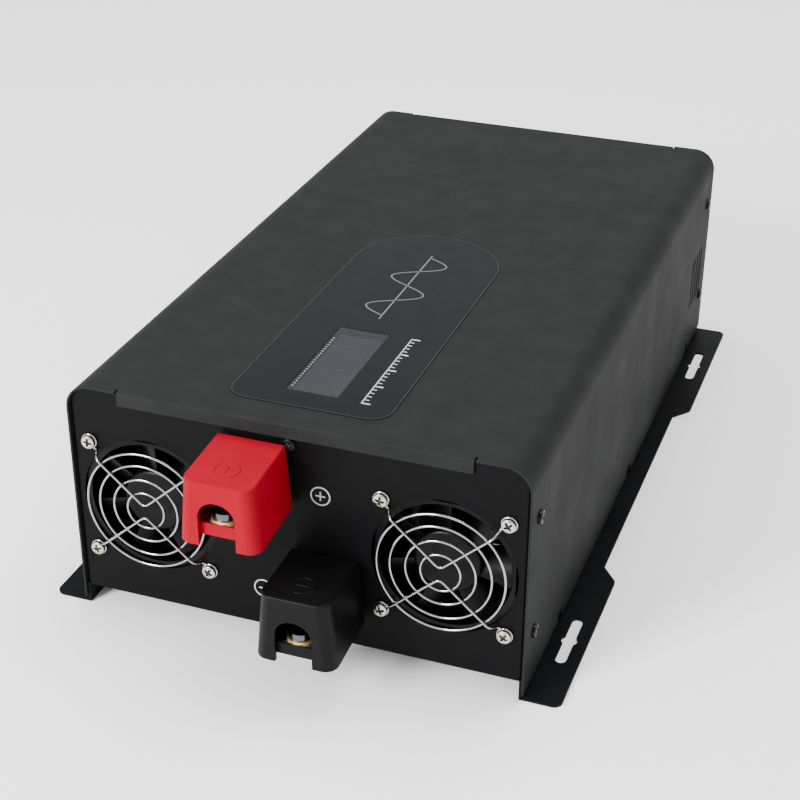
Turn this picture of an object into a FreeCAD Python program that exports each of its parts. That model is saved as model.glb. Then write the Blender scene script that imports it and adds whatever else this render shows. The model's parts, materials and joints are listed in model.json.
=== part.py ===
import FreeCAD, Part
import math
import os
import re
import Sketcher
from FreeCAD import Placement, Rotation, Vector

# Power inverter: a folded sheet-metal case on a flanged chassis, two cooling fans and two battery
# terminals with pull-off boots on the front (-Y), the AC fittings on the rear (+Y).
# Millimetres. Z = 0 is the underside of the feet, X = 0 the centre plane. Every sub-part is drawn
# with Y = 0 on the outer face of the front panel; its Placement then moves it back by FRONT,
# which puts the origin under the centre of the whole object.

DIMENSIONS = [
    # case
    ("body_width", 272, "outside width of the cover"),
    ("body_length", 490, "front panel face to rear panel face"),
    ("cover_top", 148.5, "outer face of the cover's top"),
    ("cover_skin", 1.2, "cover sheet"),
    ("cover_bend", 15, "outside radius of the cover's long bends"),
    ("cover_bottom", 4, "lower edge of the cover's sides"),
    ("cover_overhang", 1.8, "cover edge past each panel face"),
    ("lip_half", 103.6, "half length of the cover's folded end lips"),
    ("lip_bottom", 140, "lower edge of the end lips"),
    ("lip_bend", 1.6, "outside radius of the lip fold"),
    ("lip_relief", 1.2, "relief cut at each end of the lips"),
    ("lip_relief_depth", 4, "relief cut at each end of the lips"),
    ("notch_length", 9, "notch in the cover's lower edge"),
    ("notch_top", 10, "top of the notches"),
    ("front_notch_y", 75, "centre of the front notches"),
    ("middle_notch_y", 250, "centre of the middle notches"),
    ("rear_notch_y", 442, "centre of the rear notches"),
    ("vent_slot_width", 3.6, "side and rear vent slots"),
    ("side_vent_bottom", 42, "side vent slots"),
    ("side_vent_top", 80, "side vent slots"),
    ("side_vent_start", 52, "first side vent from the rear panel face"),
    ("side_vent_pitch", 8, "side vent slots"),
    ("rear_vent_x", -122, "left side of the first rear vent"),
    ("rear_vent_pitch", 8.4, "rear vent slots"),
    ("rear_vent_length", 21, "rear vent slots"),
    ("rear_vent_low", 83, "lower row of rear vents"),
    ("rear_vent_high", 110, "upper row of rear vents"),
    ("panel_skin", 1.5, "front and rear panel sheet"),
    ("panel_half", 134.5, "half width of the panels above the chassis"),
    ("panel_foot_half", 132.7, "half width between the chassis legs"),
    ("panel_bottom", 12.4, "lower edge of the panels"),
    ("panel_top", 146.8, "upper edge of the panels"),
    ("panel_corner", 13.4, "rounded upper corners of the panels"),
    ("panel_step", 15, "height where the panels widen over the legs"),
    ("flange_depth", 20, "panel side flanges, from the outer face"),
    ("flange_bottom", 17, "panel side flanges"),
    ("flange_top", 124, "panel side flanges"),
    ("flange_bend", 2.4, "outside radius of the panel bends"),
    ("tab_half", 118, "half length of the panel's foot tab"),
    ("tab_depth", 14, "depth of the panel's foot tab"),
    ("rivet_x", 80, "foot tab rivets"),
    ("rivet_inset", 8, "foot tab rivets from the panel face"),
    ("rivet_radius", 1.6, "foot tab rivets"),
    # chassis
    ("chassis_skin", 1.5, "chassis sheet"),
    ("floor_top", 14, "upper face of the chassis floor"),
    ("leg_half", 134.5, "outside of the chassis legs"),
    ("rail_half", 147, "narrow part of the mounting flanges"),
    ("ear_half", 157, "wide ears of the mounting flanges"),
    ("ear_corner", 5, "outer corner radius of the ears"),
    ("front_ear_end", 127, "full width of the front ears ends here"),
    ("front_ear_run", 13, "length of the ears' slanted edge"),
    ("rear_ear_start", 356, "full width of the rear ears starts here"),
    ("slot_centre_x", 146, "mounting slots"),
    ("front_slot_y", 60, "centre of the front mounting slots"),
    ("rear_slot_y", 426, "centre of the rear mounting slots"),
    ("slot_length", 45, "end to end"),
    ("slot_radius", 3.2, "half the slot's width"),
    ("slot_bulge", 4.8, "radius of the round hole in the slot's middle"),
    # fasteners
    ("screw_radius", 2, "M4 shank"),
    ("screw_hole", 2.2, "clearance hole for M4"),
    ("screw_head", 4.2, "pan head radius"),
    ("screw_head_height", 2.6, "pan head"),
    ("screw_recess", 0.95, "width of the cross recess"),
    ("cover_screw_length", 7.2, "side screws"),
    ("cover_screw_y", 14, "from each panel face"),
    ("cover_screw_low", 38, "lower side screws"),
    ("cover_screw_high", 112, "upper side screws"),
    ("panel_screw_x", -0.8, "upper screw of each panel"),
    ("panel_screw_z", 135.6, "upper screw of each panel"),
    ("panel_screw_length", 8, "upper panel screws"),
    ("nut_across", 4.04, "M4 nut, circumscribed radius"),
    ("nut_height", 3.2, "M4 nut"),
    # fans
    ("fan_x", 88, "fan axis from the centre plane"),
    ("fan_z", 77.4, "fan axis height"),
    ("fan_size", 80, "fan frame"),
    ("fan_depth", 25, "fan frame"),
    ("fan_corner", 4, "fan frame corner radius"),
    ("fan_bore", 38.3, "fan frame bore"),
    ("fan_pitch", 35.75, "screw holes from the fan axis"),
    ("fan_opening", 42, "opening in the front panel"),
    ("fan_screw_length", 33, "through the panel and the frame"),
    ("hub_radius", 19.5, "rotor hub"),
    ("hub_wall", 1.5, "rotor hub"),
    ("hub_front", 5, "front face of the hub behind the panel face"),
    ("hub_rear", 21, "rear edge of the hub"),
    ("blade_tip", 37.1, "blade tip radius"),
    ("fan_shaft", 1.5, "rotor shaft"),
    ("fan_bearing", 1.55, "bearing bore"),
    ("bearing_tube", 4, "outside of the bearing tube"),
    ("stator_radius", 16.2, "stator"),
    ("strut_width", 5, "motor mount struts"),
    ("guard_wire", 0.75, "guard wire radius"),
    ("guard_stand", 6, "ring plane in front of the panel"),
    ("guard_loop", 4.2, "loops round the screws, centre line"),
    ("guard_apex", 4, "turn of the cross wires from the fan axis"),
    ("guard_knee", 29.6, "where the cross wires drop towards the panel"),
    ("guard_tail", 1.6, "flat wire between the drop and the loop"),
    # battery terminals
    ("positive_x", -21.9, "positive terminal"),
    ("positive_z", 99.6, "underside of the positive terminal block"),
    ("negative_x", 20, "negative terminal"),
    ("negative_z", 32.2, "underside of the negative terminal block"),
    ("block_half", 18, "terminal block half width"),
    ("block_reach", 46, "terminal block in front of the panel"),
    ("block_height", 7.3, "terminal block"),
    ("block_rim", 1.2, "block in front of the busbar's end"),
    ("tongue_half", 14, "block tongue through the panel"),
    ("tongue_reach", 12, "block tongue behind the panel face"),
    ("tongue_step", 0.8, "tongue above the block underside"),
    ("busbar_half", 10, "busbar half width"),
    ("busbar_thick", 2.5, "busbar"),
    ("busbar_end", 56, "busbar behind the panel face"),
    ("bolt_reach", 37.5, "terminal bolt axis in front of the panel"),
    ("bolt_radius", 4, "M8"),
    ("bolt_head", 4.6, "terminal bolt's head height"),
    ("bolt_head_radius", 7.4, "terminal bolt's round head"),
    ("bolt_dome", 14, "radius of its domed top"),
    ("bolt_socket", 2.9, "5 mm hexagon socket, circumscribed radius"),
    ("bolt_socket_depth", 2.6, "hexagon socket"),
    ("nut_m8_across", 7.5, "M8 nut, circumscribed radius"),
    ("washer_radius", 8, "flat washer"),
    ("washer_thick", 1.6, "flat washer"),
    ("spring_washer_radius", 7.1, "spring washer"),
    ("spring_washer_thick", 2, "spring washer"),
    ("insert_radius", 5.5, "threaded insert"),
    ("boot_gap", 3, "boot's rear edge to the panel, clear of the panel screw"),
    ("boot_reach", 49.5, "front of the boots"),
    ("boot_top", 37.6, "rear upper edge above the boot's seat"),
    ("boot_rear_drop", 1, "rear lower edge below the boot's seat"),
    ("boot_drop", 4.7, "front legs below the boot's seat"),
    ("boot_top_half", 20, "half width at the top"),
    ("boot_foot_half", 23.7, "half width at the foot"),
    ("boot_wall", 2.5, "boot wall"),
    ("boot_corner", 7.5, "front corner radius"),
    ("boot_edge", 1.2, "radius of the upper edges"),
    ("positive_boot_z", 98.9, "seat of the positive boot"),
    ("positive_boot_fall", 3.5, "fall of its top towards the front"),
    ("negative_boot_z", 33.4, "seat of the negative boot"),
    ("negative_boot_fall", 0.4, "fall of its top towards the front"),
    ("arch_half", 10.8, "cable arch"),
    ("arch_top", 23, "cable arch above the boot's seat"),
    ("arch_corner", 10.2, "cable arch"),
    ("mark_radius", 5.9, "polarity mark ring"),
    ("mark_line", 0.75, "polarity mark line"),
    ("mark_thick", 0.15, "ink film"),
    ("plus_x", 16.8, "plus mark"),
    ("plus_z", 106.6, "plus mark"),
    ("minus_x", -19.3, "minus mark"),
    ("minus_z", 37.2, "minus mark"),
    # display
    ("label_half", 48, "display overlay"),
    ("label_front", 18, "display overlay"),
    ("label_corner", 13, "front corners of the overlay"),
    ("label_round_y", 218, "centre of the overlay's rounded end"),
    ("label_thick", 0.5, "display overlay"),
    ("window_left", -18, "display window"),
    ("window_right", 13.6, "display window"),
    ("window_front", 35, "display window"),
    ("window_rear", 117.5, "display window"),
    ("window_gap", 0.2, "clearance round the display"),
    ("lens_thick", 0.4, "clear lens"),
    ("bezel_wall", 3, "display bezel"),
    ("board_thick", 1.6, "circuit boards"),
    ("display_board_top", 138.6, "display board"),
    # power stage
    ("board_bottom", 24, "power and output boards"),
    ("power_front", 46, "power board"),
    ("power_rear", 206, "power board"),
    ("power_half", 46, "power board"),
    ("sink_inner", 52, "inner face of the heatsinks"),
    ("sink_base", 6, "heatsink base plate"),
    ("sink_outer", 116, "fin tips"),
    ("sink_bottom", 20, "heatsinks"),
    ("sink_top", 112, "heatsinks"),
    ("fin_thick", 2, "heatsink fins"),
    ("transistor_width", 16, "power transistors"),
    ("transistor_depth", 5, "power transistors"),
    ("transistor_height", 21, "power transistors"),
    ("transistor_bottom", 34, "power transistors"),
    ("capacitor_radius", 9, "bulk capacitors"),
    ("capacitor_height", 38, "bulk capacitors"),
    ("standoff_radius", 3.2, "board standoffs"),
    # transformer
    ("toroid_y", 312, "transformer axis"),
    ("toroid_hole", 24, "inside of the winding"),
    ("toroid_radius", 80, "outside of the winding"),
    ("toroid_height", 76, "over the winding"),
    ("winding_thick", 8, "winding on the core"),
    ("winding_round", 7, "winding edge radius"),
    ("pad_thick", 3, "insulating pads"),
    ("plate_radius", 62, "clamping plate"),
    ("plate_thick", 2.5, "clamping plate"),
    # rear fittings
    ("rear_reach", 28, "cable glands behind the rear panel"),
    ("gland_z", 44, "cable glands"),
    ("gland_left_x", -98, "cable glands"),
    ("gland_pitch", 46, "cable glands"),
    ("gland_bore", 7, "cable way"),
    ("gland_thread", 12, "M24 thread through the panel"),
    ("gland_hex", 17, "gland body, circumscribed radius"),
    ("gland_cap", 14, "gland cap"),
    ("gland_hex_height", 7, "gland body"),
    ("gland_cap_start", 9, "gland cap from the panel"),
    ("gland_cap_end", 22, "where the cap's nose starts"),
    ("gland_groove", 1, "radius of the cap's grip grooves"),
    ("locknut_height", 5, "gland locknuts"),
    ("switch_x", 100, "power switch"),
    ("switch_half_x", 10, "switch barrel"),
    ("switch_half_z", 13, "switch barrel"),
    ("switch_flange", 2, "overhang and thickness of the switch's flange"),
    ("switch_depth", 24, "switch barrel behind the panel face"),
    ("well_half_x", 8, "well of the rocker"),
    ("well_half_z", 11, "well of the rocker"),
    ("well_depth", 12, "well of the rocker"),
    ("rocker_depth", 4, "rocker axis behind the panel face"),
    ("rocker_half_x", 7.6, "rocker"),
    ("rocker_pin", 1.2, "rocker's stub pins"),
    ("rocker_pin_bore", 1.25, "holes for the stub pins"),
    ("fitting_z", 112, "power switch and remote port"),
    ("breaker_z", 62, "circuit breakers"),
    ("breaker_x", 104, "outer breaker"),
    ("breaker_pitch", 34, "breakers"),
    ("breaker_half_x", 8, "breaker box"),
    ("breaker_half_z", 15, "breaker box"),
    ("breaker_depth", 34, "breaker box behind the panel face"),
    ("bushing_radius", 6, "breaker's threaded bushing"),
    ("bushing_reach", 9, "bushing in front of the panel face"),
    ("ring_nut", 9, "breaker nut, circumscribed radius"),
    ("ring_nut_height", 3, "breaker nut"),
    ("button_radius", 3, "breaker button stem"),
    ("button_bore", 3.06, "breaker bushing bore"),
    ("button_cap", 4.6, "breaker button cap"),
    ("button_cap_height", 4, "breaker button cap"),
    ("port_x", 62, "remote port"),
    ("port_half_x", 7, "remote port's housing"),
    ("port_half_z", 6.5, "remote port's housing"),
    ("port_depth", 16, "remote port's housing"),
    ("port_lip", 0.6, "housing in front of the panel face"),
    ("socket_half_x", 5, "remote port's socket"),
    ("socket_depth", 10, "remote port's socket"),
    ("cutout_gap", 0.2, "panel cut-out around each rear fitting"),
    ("stud_x", 62, "earth stud"),
    ("stud_z", 28, "earth stud"),
    ("stud_radius", 3, "M6"),
    ("stud_shank", 2.6, "earth stud's thread root, under its nuts"),
    ("stud_nut", 5, "height of the earth stud's nuts"),
    ("nut_m6_across", 5.77, "M6 nut, circumscribed radius"),
    ("stud_inside", 10, "earth stud inside the panel face"),
    ("stud_reach", 20, "earth stud behind the panel"),
]

FRONT = "(boot_reach - body_length - rear_reach) / 2"
SIDES = (("left", -1), ("right", 1))
POLES = (("Positive", "positive_x", "positive_z"), ("Negative", "negative_x", "negative_z"))
CORNERS = ((-1, -1), (-1, 1), (1, -1), (1, 1))

doc = FreeCAD.newDocument("power_inverter")
sheet = doc.addObject("Spreadsheet::Sheet", "Dimensions")
for row, (alias, number, note) in enumerate(DIMENSIONS, start=1):
    sheet.set("A%d" % row, alias)
    sheet.set("B%d" % row, str(number))
    sheet.setAlias("B%d" % row, alias)
    sheet.set("C%d" % row, note)
doc.recompute()

ALIAS = re.compile(r"\b(%s)\b" % "|".join(alias for alias, _, _ in DIMENSIONS))
subparts = []
depth_of = {}


# ---- bound dimensions ----

def size(alias):
    """The number in a sheet cell."""
    return float(sheet.get(alias))


def expression(text):
    """Names the sheet in front of every alias, as FreeCAD's expressions want it."""
    return ALIAS.sub(r"Dimensions.\1", str(text))


def bind(item, **properties):
    """Binds properties of a document object to expressions of the sheet's aliases."""
    for name, text in properties.items():
        item.setExpression(name, expression(text))


def place(item, x="0", y="0", z="0", facing=None):
    """Binds an object's position, and turns its own +Z to face a direction."""
    if facing is not None:
        item.Placement = Placement(Vector(), Rotation(Vector(0, 0, 1), Vector(*facing)))
    for axis, text in zip("xyz", (x, y, z)):
        item.setExpression("Placement.Base." + axis, expression(text))
    depth_of[item.Name] = str(y)
    return item


def node(label, item):
    """Registers a finished sub-part and moves it from the front-panel frame to the object's frame."""
    item.Label = label
    item.setExpression("Placement.Base.y", expression("%s + (%s)" % (FRONT, depth_of.get(item.Name, "0"))))
    subparts.append(item)
    return item


# ---- Part primitives and booleans ----

def block(name, across, along, up):
    """A box between bound limits: (low, high) for X, Y and Z."""
    item = doc.addObject("Part::Box", name)
    bind(item, Length="(%s) - (%s)" % (across[1], across[0]))
    bind(item, Width="(%s) - (%s)" % (along[1], along[0]))
    bind(item, Height="(%s) - (%s)" % (up[1], up[0]))
    return place(item, across[0], along[0], up[0])


def mirrored_block(name, side, across, along, up):
    """A block whose X limits are given on the right and mirrored when side is -1."""
    if side < 0:
        across = ("-(%s)" % across[1], "-(%s)" % across[0])
    return block(name, across, along, up)


def cylinder(name, radius, length, x="0", y="0", z="0", facing=None):
    item = doc.addObject("Part::Cylinder", name)
    bind(item, Radius=radius, Height=length)
    return place(item, x, y, z, facing)


def hexagon(name, radius, length, x="0", y="0", z="0", facing=None):
    item = doc.addObject("Part::Prism", name)
    item.Polygon = 6
    bind(item, Circumradius=radius, Height=length)
    return place(item, x, y, z, facing)


def halves(half):
    """Limits that reach equally far to both sides of zero."""
    return "-(%s)" % half, half


def fuse(name, shapes):
    item = doc.addObject("Part::MultiFuse", name)
    item.Shapes = shapes
    return item


def cut(name, base, tools):
    item = doc.addObject("Part::Cut", name)
    item.Base = base
    item.Tool = tools[0] if len(tools) == 1 else fuse(name + "Tools", tools)
    return item


def group(name, shapes):
    """Separate solids kept together as one sub-part."""
    item = doc.addObject("Part::Compound", name)
    item.Links = shapes
    return item


def copy(name, master, x="0", y="0", z="0", facing=(0, 0, 1)):
    item = doc.addObject("App::Link", name)
    item.LinkedObject = master
    return place(item, x, y, z, facing)


def tube(name, outer, inner, length, x="0", y="0", z="0", facing=None):
    skin = cylinder(name + "Skin", outer, length)
    bore = cylinder(name + "Bore", inner, "(%s) + 2" % length, z="-1")
    return place(cut(name, skin, [bore]), x, y, z, facing)


# ---- PartDesign bodies ----

def new_body(name):
    return doc.addObject("PartDesign::Body", name)


def new_sketch(body, role, offset="0"):
    sketch = body.newObject("Sketcher::SketchObject", body.Name + "Sketch")
    planes = [item for item in body.Origin.OriginFeatures if item.Role == role]
    sketch.AttachmentSupport = [(planes[0], "")]
    sketch.MapMode = "FlatFace"
    sketch.setExpression("AttachmentOffset.Base.z", expression(offset))
    return sketch


def hold(sketch, kind, value, text, *places):
    """Adds one dimension to a sketch and binds it."""
    index = sketch.addConstraint(Sketcher.Constraint(kind, *places, value))
    sketch.setExpression("Constraints[%d]" % index, expression(text))


def add_outline(sketch, corners):
    """A closed outline of straight edges. Each corner is held from the origin by two dimensions."""
    first = sketch.GeometryCount
    count = len(corners)
    start = []
    for i in range(count):
        turn = 2 * math.pi * i / count
        start.append(Vector(100 * math.cos(turn), 100 * math.sin(turn), 0))
    for i in range(count):
        sketch.addGeometry(Part.LineSegment(start[i], start[(i + 1) % count]))
    for i in range(count):
        sketch.addConstraint(Sketcher.Constraint("Coincident", first + i, 2, first + (i + 1) % count, 1))
    for i, (across, up) in enumerate(corners):
        hold(sketch, "DistanceX", start[i].x, across, -1, 1, first + i, 1)
        hold(sketch, "DistanceY", start[i].y, up, -1, 1, first + i, 1)


def add_rectangle(sketch, low_x, high_x, low_y, high_y):
    add_outline(sketch, [(low_x, low_y), (high_x, low_y), (high_x, high_y), (low_x, high_y)])


def add_circle(sketch, radius, x, y):
    index = sketch.addGeometry(Part.Circle(Vector(10, 10, 0), Vector(0, 0, 1), 5))
    hold(sketch, "Radius", 5, radius, index)
    hold(sketch, "DistanceX", 10, x, -1, 1, index, 3)
    hold(sketch, "DistanceY", 10, y, -1, 1, index, 3)


def pad(body, sketch, length, reverse=False):
    feature = body.newObject("PartDesign::Pad", body.Name + "Pad")
    feature.Profile = sketch
    feature.Reversed = reverse
    bind(feature, Length=length)
    doc.recompute()
    return feature


def pocket_through(body, sketch):
    """Cuts a sketch through the whole body both ways, and makes sure that something was cut."""
    before = body.Shape.Volume
    feature = body.newObject("PartDesign::Pocket", body.Name + "Pocket")
    feature.Profile = sketch
    feature.Type = "ThroughAll"
    feature.Midplane = True
    doc.recompute()
    if body.Shape.Volume >= before:
        raise RuntimeError("%s cuts nothing" % feature.Name)
    return feature


def round_edges(body, radius, test):
    """Fillets the edges that pass a test with a bound radius."""
    base = body.Tip
    edges = ["Edge%d" % (i + 1) for i, edge in enumerate(base.Shape.Edges) if test(edge)]
    feature = body.newObject("PartDesign::Fillet", body.Name + "Fillet")
    feature.Base = (base, edges)
    bind(feature, Radius=radius)
    doc.recompute()
    return feature


def runs_along(edge, axis):
    """True for a straight edge parallel to an axis."""
    if len(edge.Vertexes) != 2 or edge.Curve.TypeId != "Part::GeomLine":
        return False
    step = edge.Vertexes[1].Point - edge.Vertexes[0].Point
    return abs(abs(step.dot(Vector(*axis))) - step.Length) < 1e-6


def near(value, wanted):
    return abs(value - wanted) < 1e-3


X_AXIS = (1, 0, 0)
Y_AXIS = (0, 1, 0)
Z_AXIS = (0, 0, 1)
TO_FRONT = (0, -1, 0)
TO_REAR = (0, 1, 0)


# ---- case ----

def case_section(body, half, top, skin, bottom, start, length):
    """An upturned U of sheet, padded from start towards the rear."""
    sketch = new_sketch(body, "XZ_Plane", start)
    inner_half = "%s - %s" % (half, skin)
    inner_top = "%s - %s" % (top, skin)
    add_outline(sketch, [
        ("-(%s)" % half, bottom), ("-(%s)" % half, top), (half, top), (half, bottom),
        (inner_half, bottom), (inner_half, inner_top), ("-(%s)" % inner_half, inner_top),
        ("-(%s)" % inner_half, bottom)])
    pad(body, sketch, length, reverse=True)


def between(edge, sign, near_step, far_step):
    """The Y limits from near_step to far_step inward of an edge; sign is + at the front, - at the rear."""
    limits = ("%s %s (%s)" % (edge, sign, near_step), "%s %s (%s)" % (edge, sign, far_step))
    return limits if sign == "+" else limits[::-1]


def end_lip(name, edge, sign):
    """The strip of the cover that folds down over the top of a panel."""
    return block(name + "Lip", ("-lip_half", "lip_half"), between(edge, sign, "0", "cover_skin"),
                 ("lip_bottom", "cover_top - cover_skin / 2"))


def fold_cuts(name, edge, sign):
    """What the fold of a lip leaves out: the corner outside its bend and a relief cut at each end."""
    length = "2 * lip_half"
    corner = block(name + "FoldCorner", ("-lip_half", "lip_half"), between(edge, sign, "-1", "lip_bend"),
                   ("cover_top - lip_bend", "cover_top + 1"))
    bend = cylinder(name + "FoldBend", "lip_bend", length + " + 2", "-lip_half - 1",
                    "%s %s lip_bend" % (edge, sign), "cover_top - lip_bend", X_AXIS)
    cuts = [cut(name + "Fold", corner, [bend])]
    for side_name, side in SIDES:
        cuts.append(mirrored_block(name + side_name + "Relief", side, ("lip_half", "lip_half + lip_relief"),
                                   between(edge, sign, "-1", "lip_relief_depth"),
                                   ("cover_top - 2 * cover_skin", "cover_top + 1")))
    return cuts


def make_cover():
    body = new_body("CoverShell")
    case_section(body, "body_width / 2", "cover_top", "cover_skin", "cover_bottom",
                 "cover_overhang", "body_length + 2 * cover_overhang")
    half = size("body_width") / 2
    top = size("cover_top")
    skin = size("cover_skin")

    def bends_at(x, z):
        return lambda edge: (runs_along(edge, Y_AXIS) and near(abs(edge.CenterOfMass.x), x)
                             and near(edge.CenterOfMass.z, z))
    round_edges(body, "cover_bend - cover_skin", bends_at(half - skin, top - skin))
    round_edges(body, "cover_bend", bends_at(half, top))

    lips = []
    tools = []
    for name, edge, inward in (("Front", "-cover_overhang", "+"),
                               ("Rear", "body_length + cover_overhang", "-")):
        lips.append(end_lip(name, edge, inward))
        tools += fold_cuts(name, edge, inward)
    shell = fuse("CoverWithLips", [body] + lips)

    tools.append(block("WindowCut", ("window_left", "window_right"), ("window_front", "window_rear"),
                       ("cover_top - 5", "cover_top + 5")))
    for centre in ("front_notch_y", "middle_notch_y", "rear_notch_y"):
        tools.append(block("Notch", ("-body_width", "body_width"),
                           (centre + " - notch_length / 2", centre + " + notch_length / 2"),
                           ("0", "notch_top")))
    for i in range(5):
        centre = "body_length - side_vent_start + %d * side_vent_pitch" % i
        tools.append(block("SideVent%d" % i, ("-body_width", "body_width"),
                           ("%s - vent_slot_width / 2" % centre, "%s + vent_slot_width / 2" % centre),
                           ("side_vent_bottom", "side_vent_top")))
    for i, along in enumerate(("cover_screw_y", "body_length - cover_screw_y")):
        for j, up in enumerate(("cover_screw_low", "cover_screw_high")):
            tools.append(cylinder("CoverHole%d%d" % (i, j), "screw_hole", "2 * body_width",
                                  "-body_width", along, up, X_AXIS))
    node("top_cover", cut("TopCover", shell, tools))


def rivet_places():
    ends = ("rivet_inset", "body_length - rivet_inset")
    return [(x, along) for x in ("-rivet_x", "rivet_x") for along in ends]


def make_chassis():
    body = new_body("Chassis")
    sketch = new_sketch(body, "XZ_Plane", "0.5")
    under = "floor_top - chassis_skin"
    inside = "leg_half - chassis_skin"
    add_outline(sketch, [
        ("-ear_half", "0"), ("-ear_half", "chassis_skin"), ("-leg_half", "chassis_skin"),
        ("-leg_half", "floor_top"), ("leg_half", "floor_top"), ("leg_half", "chassis_skin"),
        ("ear_half", "chassis_skin"), ("ear_half", "0"), (inside, "0"), (inside, under),
        ("-(%s)" % inside, under), ("-(%s)" % inside, "0")])
    pad(body, sketch, "body_length + 1", reverse=True)
    sketch = new_sketch(body, "XY_Plane")
    for side in (-1, 1):
        rail = "%d * rail_half" % side
        edge = "%d * (ear_half + 1)" % side
        ear = "%d * ear_half" % side
        add_outline(sketch, [
            (edge, "front_ear_end"), (ear, "front_ear_end"), (rail, "front_ear_end + front_ear_run"),
            (rail, "rear_ear_start - front_ear_run"), (ear, "rear_ear_start"), (edge, "rear_ear_start")])
    pocket_through(body, sketch)
    ear_half = size("ear_half")
    round_edges(body, "ear_corner", lambda edge: runs_along(edge, Z_AXIS)
                and near(abs(edge.CenterOfMass.x), ear_half))
    tools = []
    for name, along in (("Front", "front_slot_y"), ("Rear", "rear_slot_y")):
        for side_name, side in SIDES:
            x = "%d * slot_centre_x" % side
            straight = "slot_length / 2 - slot_radius"
            tools.append(block("%sSlot%s" % (name, side_name), (x + " - slot_radius", x + " + slot_radius"),
                               (along + " - (%s)" % straight, along + " + " + straight), ("-1", "5")))
            for end, sign in (("A", "-"), ("B", "+")):
                tools.append(cylinder("%sSlotEnd%s%s" % (name, side_name, end), "slot_radius", "6",
                                      x, "%s %s (%s)" % (along, sign, straight), "-1"))
            tools.append(cylinder("%sSlotBulge%s" % (name, side_name), "slot_bulge", "6", x, along, "-1"))
    for name, near_y, far_y in (("Front", "-2", "panel_skin + 0.2"),
                                ("Rear", "body_length - panel_skin - 0.2", "body_length + 2")):
        tools.append(block(name + "FloorTrim", ("chassis_skin - leg_half", "leg_half - chassis_skin"),
                           (near_y, far_y), ("panel_bottom - 1", "floor_top + 1")))
    tools.append(cylinder("ToroidStudHole", "bolt_radius", "10", "0", "toroid_y", "floor_top - 5"))
    for x, along in rivet_places():
        tools.append(cylinder("RivetHole", "rivet_radius", "10", x, along, "floor_top - 5"))
    node("base_chassis", cut("BaseChassis", body, tools))


def panel_blank(name, mirror):
    """A panel: plate, two side flanges and a foot tab. mirror flips it to the rear end."""
    body = new_body(name)
    face = "-body_length" if mirror else "0"
    inward = not mirror
    sketch = new_sketch(body, "XZ_Plane", face)
    add_outline(sketch, [
        ("-panel_foot_half", "panel_bottom"), ("-panel_foot_half", "panel_step"),
        ("-panel_half", "panel_step"), ("-panel_half", "panel_top"),
        ("panel_half", "panel_top"), ("panel_half", "panel_step"),
        ("panel_foot_half", "panel_step"), ("panel_foot_half", "panel_bottom")])
    pad(body, sketch, "panel_skin", reverse=inward)
    sketch = new_sketch(body, "XZ_Plane", face)
    for side in (-1, 1):
        add_rectangle(sketch, "%d * panel_half" % side, "%d * (panel_half - panel_skin)" % side,
                      "flange_bottom", "flange_top")
    pad(body, sketch, "flange_depth", reverse=inward)
    sketch = new_sketch(body, "XZ_Plane", face)
    add_rectangle(sketch, "-tab_half", "tab_half", "floor_top", "floor_top + panel_skin")
    pad(body, sketch, "tab_depth", reverse=inward)
    outer_y = size("body_length") if mirror else 0
    half = size("panel_half")
    round_edges(body, "flange_bend", lambda edge: runs_along(edge, Z_AXIS)
                and near(abs(edge.CenterOfMass.x), half) and near(edge.CenterOfMass.y, outer_y)
                and size("flange_bottom") < edge.CenterOfMass.z < size("flange_top"))
    return body


def panel_corners(end, face):
    """What the rounded upper corners of a panel leave out."""
    cuts = []
    start = face + " - 5"
    for side_name, side in SIDES:
        square = mirrored_block(end + side_name + "CornerSquare", side,
                                ("panel_half - panel_corner", "panel_half + 1"), (start, face + " + 5"),
                                ("panel_top - panel_corner", "panel_top + 1"))
        disc = cylinder(end + side_name + "CornerDisc", "panel_corner", "12",
                        "%d * (panel_half - panel_corner)" % side, face + " - 6", "panel_top - panel_corner",
                        TO_REAR)
        cuts.append(cut(end + side_name + "Corner", square, [disc]))
    return cuts


def panel_holes(end, face, tab):
    """The side screw, upper screw and foot rivet holes that both panels share."""
    tools = panel_corners(end, face)
    for i, up in enumerate(("cover_screw_low", "cover_screw_high")):
        tools.append(cylinder("%sFlangeHole%d" % (end, i), "screw_hole", "2 * body_width",
                              "-body_width", tab, up, X_AXIS))
    tools.append(cylinder(end + "UpperHole", "screw_hole", "8", "panel_screw_x", face + " - 4",
                          "panel_screw_z", TO_REAR))
    for x, along in rivet_places():
        tools.append(cylinder(end + "TabHole", "rivet_radius", "10", x, along, "floor_top - 5"))
    return tools


def make_front_panel():
    body = panel_blank("FrontPanelBlank", mirror=False)
    tools = panel_holes("Front", "0", "cover_screw_y")
    for name, side in SIDES:
        x = "%d * fan_x" % side
        tools.append(cylinder(name + "FanOpening", "fan_opening", "10", x, "-5", "fan_z", TO_REAR))
        for i, (dx, dz) in enumerate(CORNERS):
            tools.append(cylinder("%sFanHole%d" % (name, i), "screw_hole", "10",
                                  "%s + %d * fan_pitch" % (x, dx), "-5", "fan_z + %d * fan_pitch" % dz,
                                  TO_REAR))
    for name, x, base in POLES:
        tools.append(block(name + "Opening", (x + " - tongue_half - 0.5", x + " + tongue_half + 0.5"),
                           ("-5", "5"), (base + " + tongue_step / 2", base + " + block_height + 1")))
    node("front_panel", cut("FrontPanel", body, tools))


def rear_vent_slots():
    """Two rows of upright slots on the left, above the glands."""
    slots = []
    for i in range(12):
        x = "rear_vent_x + %d * rear_vent_pitch" % i
        for low in ("rear_vent_low", "rear_vent_high"):
            slots.append(block("RearVent%d" % i, (x, x + " + vent_slot_width"),
                               ("body_length - 5", "body_length + 5"), (low, low + " + rear_vent_length")))
    return slots


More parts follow.
